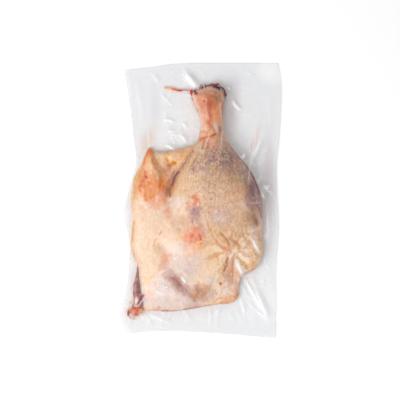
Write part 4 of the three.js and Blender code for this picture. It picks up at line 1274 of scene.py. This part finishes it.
class NodeTree:
    """Adds shader nodes and joins them."""

    def __init__(self, name):
        self.material = bpy.data.materials.new(name)
        self.material.use_nodes = True
        self.tree = self.material.node_tree
        self.tree.nodes.clear()

    def add(self, kind, inputs=None, output=0, **settings):
        """Adds a node with its settings and inputs, numbers or other nodes' sockets, and gives its output."""
        node = self.tree.nodes.new("ShaderNode" + kind)
        for name, value in settings.items():
            setattr(node, name, value)
        for socket, value in (inputs or {}).items():
            if isinstance(value, bpy.types.NodeSocket):
                self.tree.links.new(value, node.inputs[socket])
            else:
                node.inputs[socket].default_value = value
        return node.outputs[output]

    def math(self, operation, *values, clamp=False):
        return self.add("Math", dict(enumerate(values)), operation=operation, use_clamp=clamp)

    def amount(self, name):
        return self.add("Attribute", output="Fac", attribute_name=name)

    def ramp(self, value, low, high):
        """0 below low, 1 above high and smooth between them; the other way round where low is the larger."""
        ends = {"Value": value, "From Min": low, "From Max": high, "To Min": 0, "To Max": 1}
        return self.add("MapRange", ends, interpolation_type="SMOOTHSTEP")

    def mixed(self, share, first, second, blend="MIX"):
        """Colours, the second over the first."""
        sockets = {0: share, 6: first, 7: second}
        return self.add("Mix", sockets, output=2, data_type="RGBA", blend_type=blend)

    def noise(self, size, detail=2, roughness=0.5, distortion=0, stretch=1):
        """Noise whose waves have the given size in millimetres, or stretch times that size along the leg."""
        inputs = {
            "Vector": self.places(stretch), "Scale": 1 / (size * MM), "Detail": detail,
            "Roughness": roughness, "Distortion": distortion,
        }
        return self.add("TexNoise", inputs)

    def cells(self, size, stretch=1):
        """Distance from the middles of cells of the given size in millimetres, as a share of that size."""
        inputs = {"Vector": self.places(stretch), "Scale": 1 / (size * MM)}
        return self.add("TexVoronoi", inputs, output="Distance", feature="F1")

    def pattern(self, pattern):
        """How much a pattern shows, from 0 to 1."""
        waves = self.noise(
            pattern.size, pattern.detail, pattern.roughness, pattern.distortion, pattern.stretch
        )
        return self.ramp(waves, pattern.low, pattern.high)

    def bumps(self, height, bumps):
        """The normal of a bumpy surface."""
        inputs = {"Height": height, "Strength": bumps["strength"], "Distance": bumps["depth"] * MM}
        return self.add("Bump", inputs)

    def places(self, stretch):
        """Places on the piece, for a pattern that is stretched along the leg."""
        here = self.add("TexCoord", output="Object")
        return self.add("Mapping", {"Vector": here, "Scale": (1, 1 / stretch, 1)})

    def finish(self, shader):
        end = self.tree.nodes.new("ShaderNodeOutputMaterial")
        self.tree.links.new(shader, end.inputs["Surface"])
        return self.material


def rgba(display):
    return (*linear(display), 1)


def add_mottling(nodes, colour, mottling, follicles=0):
    """Makes a colour lighter and darker in blotches."""
    blotches = nodes.pattern(Pattern(mottling.size, *MOTTLING_LEVELS, mottling.stretch))
    amount = nodes.math("MULTIPLY_ADD", follicles, mottling.for_follicles, mottling.amount)
    return nodes.mixed(amount, colour, blotches, blend="SOFT_LIGHT")


def add_flecks(nodes, colour, fleck, shown):
    """Lays a fleck's paint over a colour, by its pattern, by the piece's amounts of it and by shown."""
    share = nodes.math("MULTIPLY", nodes.pattern(fleck.pattern), fleck.amount)
    share = nodes.math("MULTIPLY", share, shown)
    if fleck.where:
        share = nodes.math("MULTIPLY", share, nodes.amount(fleck.where))
    return nodes.mixed(share, colour, rgba(fleck.paint), blend=fleck.blend)


def skin_material():
    nodes = NodeTree("duck_skin")
    colour = nodes.add("Attribute", output="Color", attribute_name="tint")
    follicles = nodes.amount("follicles")
    pores = nodes.cells(PORES["size"], stretch=PORES["stretch"])
    dots = nodes.ramp(pores, PORES["rim"], PORES["core"])
    for mottling in SKIN_MOTTLING:
        colour = add_mottling(nodes, colour, mottling, follicles)
    for name, fleck in SKIN_FLECKS.items():
        colour = add_flecks(nodes, colour, fleck, dots if name == "pores" else 1)
    colour = add_mottling(nodes, colour, FINE_MOTTLING, follicles)
    grain = nodes.noise(SKIN_BUMPS["size"], detail=3, stretch=SKIN_BUMPS["stretch"])
    normal = nodes.bumps(nodes.math("MULTIPLY_ADD", pores, follicles, grain), SKIN_BUMPS)
    waves = nodes.noise(SKIN_ROUGHNESS["size"])
    roughness = nodes.math("MULTIPLY_ADD", waves, SKIN_ROUGHNESS["more"], SKIN_ROUGHNESS["least"])
    inputs = {"Base Color": colour, "Roughness": roughness, "Normal": normal, **SKIN_SHADING}
    return nodes.finish(nodes.add("BsdfPrincipled", inputs))


def meat_material():
    """Meat, sinew or clotted blood: the piece's own colours, mottled, with a wet bumpy surface."""
    nodes = NodeTree("lean_meat")
    colour = nodes.add("Attribute", output="Color", attribute_name="tint")
    for mottling in MEAT_MOTTLING:
        colour = add_mottling(nodes, colour, mottling)
    normal = nodes.bumps(nodes.noise(MEAT_BUMPS["size"], detail=3), MEAT_BUMPS)
    inputs = {"Base Color": colour, "Roughness": MEAT_ROUGHNESS, "Normal": normal, **MEAT_SHADING}
    return nodes.finish(nodes.add("BsdfPrincipled", inputs))


def film_material():
    """Clear film: tinted by painted shade and blood, milky in its creases, more of a mirror at a slant."""
    nodes = NodeTree("clear_film")
    # Painted shade beside the meat darkens the film's tint
    tint = nodes.mixed(nodes.amount("painted_shade"), (*FILM_TINT, 1), (*PAINTED_SHADE_TINT, 1))
    # The bloody amount: blood in the film, and a painted reflection above the peak
    tint = nodes.mixed(nodes.amount("bloody"), tint, (*BLOOD_AND_REFLECTION_TINT, 1))
    # The clear amount lightens the tint, as a painted highlight at the top right corner
    tint = nodes.mixed(nodes.amount("clear"), tint, WHITE)
    clear = nodes.add("BsdfTransparent", {"Color": tint})
    milky = nodes.add("BsdfDiffuse", {"Color": FILM_MILK})
    # Milky film, and a painted highlight along the creases
    milkiness = nodes.math("MULTIPLY", nodes.amount("haze_glint"), MILKINESS)
    layer = nodes.add("MixShader", {0: milkiness, 1: clear, 2: milky})
    normal = nodes.bumps(nodes.noise(FILM_BUMPS["size"]), FILM_BUMPS)
    gloss = nodes.add("BsdfAnisotropic", {"Color": WHITE, "Roughness": FILM_ROUGHNESS, "Normal": normal})
    facing = nodes.add("LayerWeight", {"Blend": FACING_BLEND}, output="Facing")
    slant = nodes.math("POWER", facing, FACING_POWER)
    mirror = nodes.math("MULTIPLY_ADD", slant, GRAZING_MIRROR - HEAD_ON_MIRROR, HEAD_ON_MIRROR)
    return nodes.finish(nodes.add("MixShader", {0: mirror, 1: layer, 2: gloss}))


def build_leg(material):
    surface = Surface(
        skin, skin.filling(SKIN_SPACING, SIDE_RINGS), skin.filling(UNDERSIDE_SPACING, UNDER_RINGS)
    )
    corners = surface.corners(leg_rim, skin_top, skin_underside)
    leg = new_piece("duck_leg", corners, surface.faces(), material)
    places = surface.places()
    is_upper = np.arange(len(places)) < len(surface.upper_places)
    give_colours(leg, skin_colours(surface, corners))
    for name, zones in (("follicles", FOLLICLE_ZONES), ("grey", GREY_ZONES), ("blood", BLOOD_ZONES)):
        give_amounts(leg, name, weight_of_zones(zones, places) * is_upper)
    within_rim = smooth_step((skin.depth(places) - UNDER_RIM["width"]) / UNDER_RIM["fade"])
    give_amounts(leg, "lean", within_rim * ~is_upper)
    return leg


def leg_rim(places):
    return rim_height(places) - BORDER["thickness"] / 4


def build_strip(name, outline, rise, base, strokes, material):
    """A low piece that lies beside the leg between the films."""
    shape = Outline(spline(outline, closed=True), SMALL_STEP)
    filling = shape.filling(SMALL_STEP, SMALL_RINGS)
    surface = Surface(shape, filling, filling)

    def top(places):
        bulk = rise["thin"] + (rise["thick"] - rise["thin"]) * rounded(shape.depth(places), rise["round"])
        lumps = rise["lumps"] * ripple(places, rise["size"], FINE_OCTAVES, rise["layer"])
        room = upper_film(places) - FILM["clearance"]
        return np.minimum(leg_rim(places) + bulk + lumps * smooth_step(shape.depth(places)), room)

    def under(places):
        over_film = round_under(places, np.maximum(contents.depth(places), 0)) + FILM["under"]
        return np.minimum(over_film, leg_rim(places))

    corners = surface.corners(leg_rim, top, under)
    piece = new_piece(name, corners, surface.faces(), material)
    give_colours(piece, painted(corners, base, {}, strokes))


def film_places(spacing, ring_depths):
    """Places on one film: over the contents, on their outline and in the border."""
    border = pouch.honeycomb(spacing)
    kept = (pouch.depth(border) > EDGE_STEP / 2) & (contents.depth(border) < -spacing / 2)
    return np.vstack([contents.polygon, contents.filling(spacing, ring_depths), border[kept]])


def build_film(material):
    surface = Surface(
        pouch, film_places(FILM_SPACING, SIDE_RINGS), film_places(LOWER_FILM_SPACING, UNDER_RINGS)
    )

    def cut_edge(places):
        return border_middle(places, np.maximum(-contents.depth(places), 0))

    corners = surface.corners(cut_edge, creased_film, lower_film)
    film = new_piece("pouch_film", corners, surface.faces(), material)
    give_amounts(film, "haze_glint", haze_glint_of(surface))
    places = surface.places()
    on_top = np.arange(len(places)) < len(surface.upper_places)
    in_border = contents.depth(places) < 0
    # Painted shade, on the upper film beside the meat
    give_amounts(film, "painted_shade", weight_of_zones(PAINTED_SHADE_ZONES, places) * in_border * on_top)
    for name, zones in (("bloody", BLOOD_AND_REFLECTION_ZONES), ("clear", LIGHTER_FILM_ZONES)):
        give_amounts(film, name, weight_of_zones(zones, places) * on_top)
    return film


def haze_glint_of(surface):
    """How milky the film is: more where it is welded, and in its creases, where it is a painted highlight."""
    places = surface.upper_places
    haze_glint = HAZE_GLINT["everywhere"] + HAZE_GLINT["weld"] * weld_share(places)
    haze_glint = haze_glint + HAZE_GLINT["crumples"] * film_crumple(places, contents.depth(places)) / CRUMPLE["near"]
    # Painted highlight: the film turns white along each crease
    for crease in (*FILM_CREASES.values(), *scattered.values()):
        haze_glint = np.maximum(haze_glint, HAZE_GLINT["glint_for_rise"] * line_rise(crease, places))
    below = np.full(len(surface.lower_places) - len(surface.ring), HAZE_GLINT["everywhere"])
    return np.concatenate([haze_glint, below])


def build_sinew(material):
    """A thin torn sinew that lies in the border, with its thicker end against the hock joint."""
    line = spline(SINEW["path"], closed=False)
    share = np.linspace(0, 1, len(line))
    radius = SINEW["thickness"] / 2 * (1 - SINEW["thinner_to_root"] * share) * rounded(share, SINEW["tip"])
    waver = SINEW["waver"]
    radius *= 1 + waver["amount"] * ripple(line, waver["size"], FINE_OCTAVES, waver["layer"])
    along = np.gradient(line, axis=0)
    across = np.column_stack([-along[:, 1], along[:, 0]]) / np.hypot(*along.T)[:, None]
    middle = border_middle(line, np.maximum(-contents.depth(line), 0))
    angles = np.linspace(0, 2 * math.pi, SINEW["sides"], endpoint=False)
    rings = [
        np.column_stack([
            line + (radius * math.cos(angle))[:, None] * across,
            middle + SINEW["flatness"] * radius * math.sin(angle),
        ])
        for angle in angles
    ]
    tips = np.column_stack([line[[0, -1]], middle[[0, -1]]])
    corners = np.vstack([np.stack(rings, axis=1).reshape(-1, 3), tips])
    sides, last = SINEW["sides"], len(line) - 1
    tip, root = len(corners) - 2, len(corners) - 1
    faces = []
    for side in range(sides):
        after = (side + 1) % sides
        faces.append([tip, side, after])
        faces.append([root, last * sides + after, last * sides + side])
        for row in range(last):
            here = row * sides
            faces.append([here + side, here + sides + side, here + sides + after, here + after])
    sinew = new_piece("torn_sinew", corners, faces, material)
    give_colours(sinew, painted(corners, SINEW_BASE, {}, SINEW_STROKES))


def crumbs(group):
    """Lumps at random places, sizes and paints."""
    rng = np.random.default_rng(group.seed)
    line = spline(group.path, closed=False)
    middles = line[rng.integers(len(line), size=group.count)] + rng.normal(0, group.spread, (group.count, 2))
    radii = rng.uniform(*group.radii, (group.count, 2))
    paints = [group.paints[pick] for pick in rng.integers(len(group.paints), size=group.count)]
    turns = np.zeros(group.count)
    return {number: Lump(*lump) for number, lump in enumerate(zip(middles, radii, turns, paints))}


def build_lumps(name, lumps, base_height, material):
    """Clots, torn flesh and the like: rugged lumps, kept between the films."""
    ball = bmesh.new()
    bmesh.ops.create_icosphere(ball, subdivisions=LUMP_SUBDIVISIONS, radius=1)
    directions = np.array([corner.co[:] for corner in ball.verts])
    ball_faces = np.array([[corner.index for corner in face.verts] for face in ball.faces])
    ball.free()
    corners, faces = [], []
    bases = base_height(np.array([lump.at for lump in lumps.values()])) + LUMP_LIFT
    for number, (lump, base) in enumerate(zip(lumps.values(), bases)):
        turn = math.radians(lump.turn)
        rugged = ripple(directions[:, :2] + directions[:, 2:], LUMP_RUGGED["size"], FINE_OCTAVES, number)
        height = min(LUMP_HEIGHT, max(lump.radii))
        shape = directions * (1 + LUMP_RUGGED["amount"] * rugged)[:, None] * (*lump.radii, height)
        x = shape[:, 0] * math.cos(turn) - shape[:, 1] * math.sin(turn)
        y = shape[:, 0] * math.sin(turn) + shape[:, 1] * math.cos(turn)
        corners.append(np.column_stack([x + lump.at[0], y + lump.at[1], base + shape[:, 2]]))
        faces.append(ball_faces + len(directions) * number)
    corners = np.vstack(corners)
    places = corners[:, :2]
    lowest, highest = lower_film(places) + FILM["clearance"], upper_film(places) - FILM["clearance"]
    corners[:, 2] = np.maximum(lowest, np.minimum(corners[:, 2], highest))
    piece = new_piece(name, corners, np.vstack(faces).tolist(), material)
    give_colours(piece, np.repeat([lump.colour for lump in lumps.values()], len(directions), axis=0))


def build_stage():
    """The pale table, the soft light and the camera that looks straight down."""
    scene = bpy.context.scene
    reach = FLOOR["size"] / 2
    mesh = bpy.data.meshes.new("floor")
    square = [(-reach, -reach, 0), (reach, -reach, 0), (reach, reach, 0), (-reach, reach, 0)]
    mesh.from_pydata(square, [], [(0, 1, 2, 3)])
    nodes = NodeTree("pale_table")
    mesh.materials.append(nodes.finish(nodes.add("BsdfDiffuse", {"Color": (*[FLOOR["white"]] * 3, 1)})))
    floor = bpy.data.objects.new("floor", mesh)
    floor.location.z = -FLOOR["below"]
    scene.collection.objects.link(floor)

    world = bpy.data.worlds.new("studio")
    world.use_nodes = True
    world.node_tree.nodes["Background"].inputs["Color"].default_value = WHITE
    world.node_tree.nodes["Background"].inputs["Strength"].default_value = SKY_STRENGTH
    scene.world = world

    for name, soft in LIGHTS.items():
        light = bpy.data.lights.new(name, "AREA")
        light.shape = "DISK"
        light.size = soft.size
        light.energy = soft.watts
        lamp = bpy.data.objects.new(name, light)
        heading, height = math.radians(soft.heading), math.radians(soft.elevation)
        level = math.cos(height)
        towards = Vector((math.cos(heading) * level, math.sin(heading) * level, math.sin(height)))
        lamp.location = LIGHT_DISTANCE * towards
        lamp.rotation_euler = towards.to_track_quat("Z", "Y").to_euler()
        scene.collection.objects.link(lamp)

    lens = bpy.data.cameras.new("camera")
    lens.lens = CAMERA["lens"]
    lens.sensor_width = CAMERA["sensor"]
    camera = bpy.data.objects.new("camera", lens)
    camera.location = (*(MM * value for value in CAMERA["over"]), CAMERA["height"])
    scene.collection.objects.link(camera)
    scene.camera = camera
    scene.view_settings.view_transform = "Standard"


build_stage()
duck_skin = skin_material()
lean_meat = meat_material()
leg = build_leg(duck_skin)
film = build_film(film_material())
build_strip("lean_strip", LEAN_OUTLINE, LEAN_RISE, LEAN_BASE, LEAN_STROKES, lean_meat)
build_lumps("bloody_scrap", {**SCRAP_LUMPS, **crumbs(SCRAP_CRUMBS)}, leg_rim, lean_meat)
build_sinew(lean_meat)
build_lumps("hock_remains", {**HOCK_LUMPS, **crumbs(HOCK_CRUMBS)}, skin_top, lean_meat)
for piece in (leg, film):
    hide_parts(NODE)
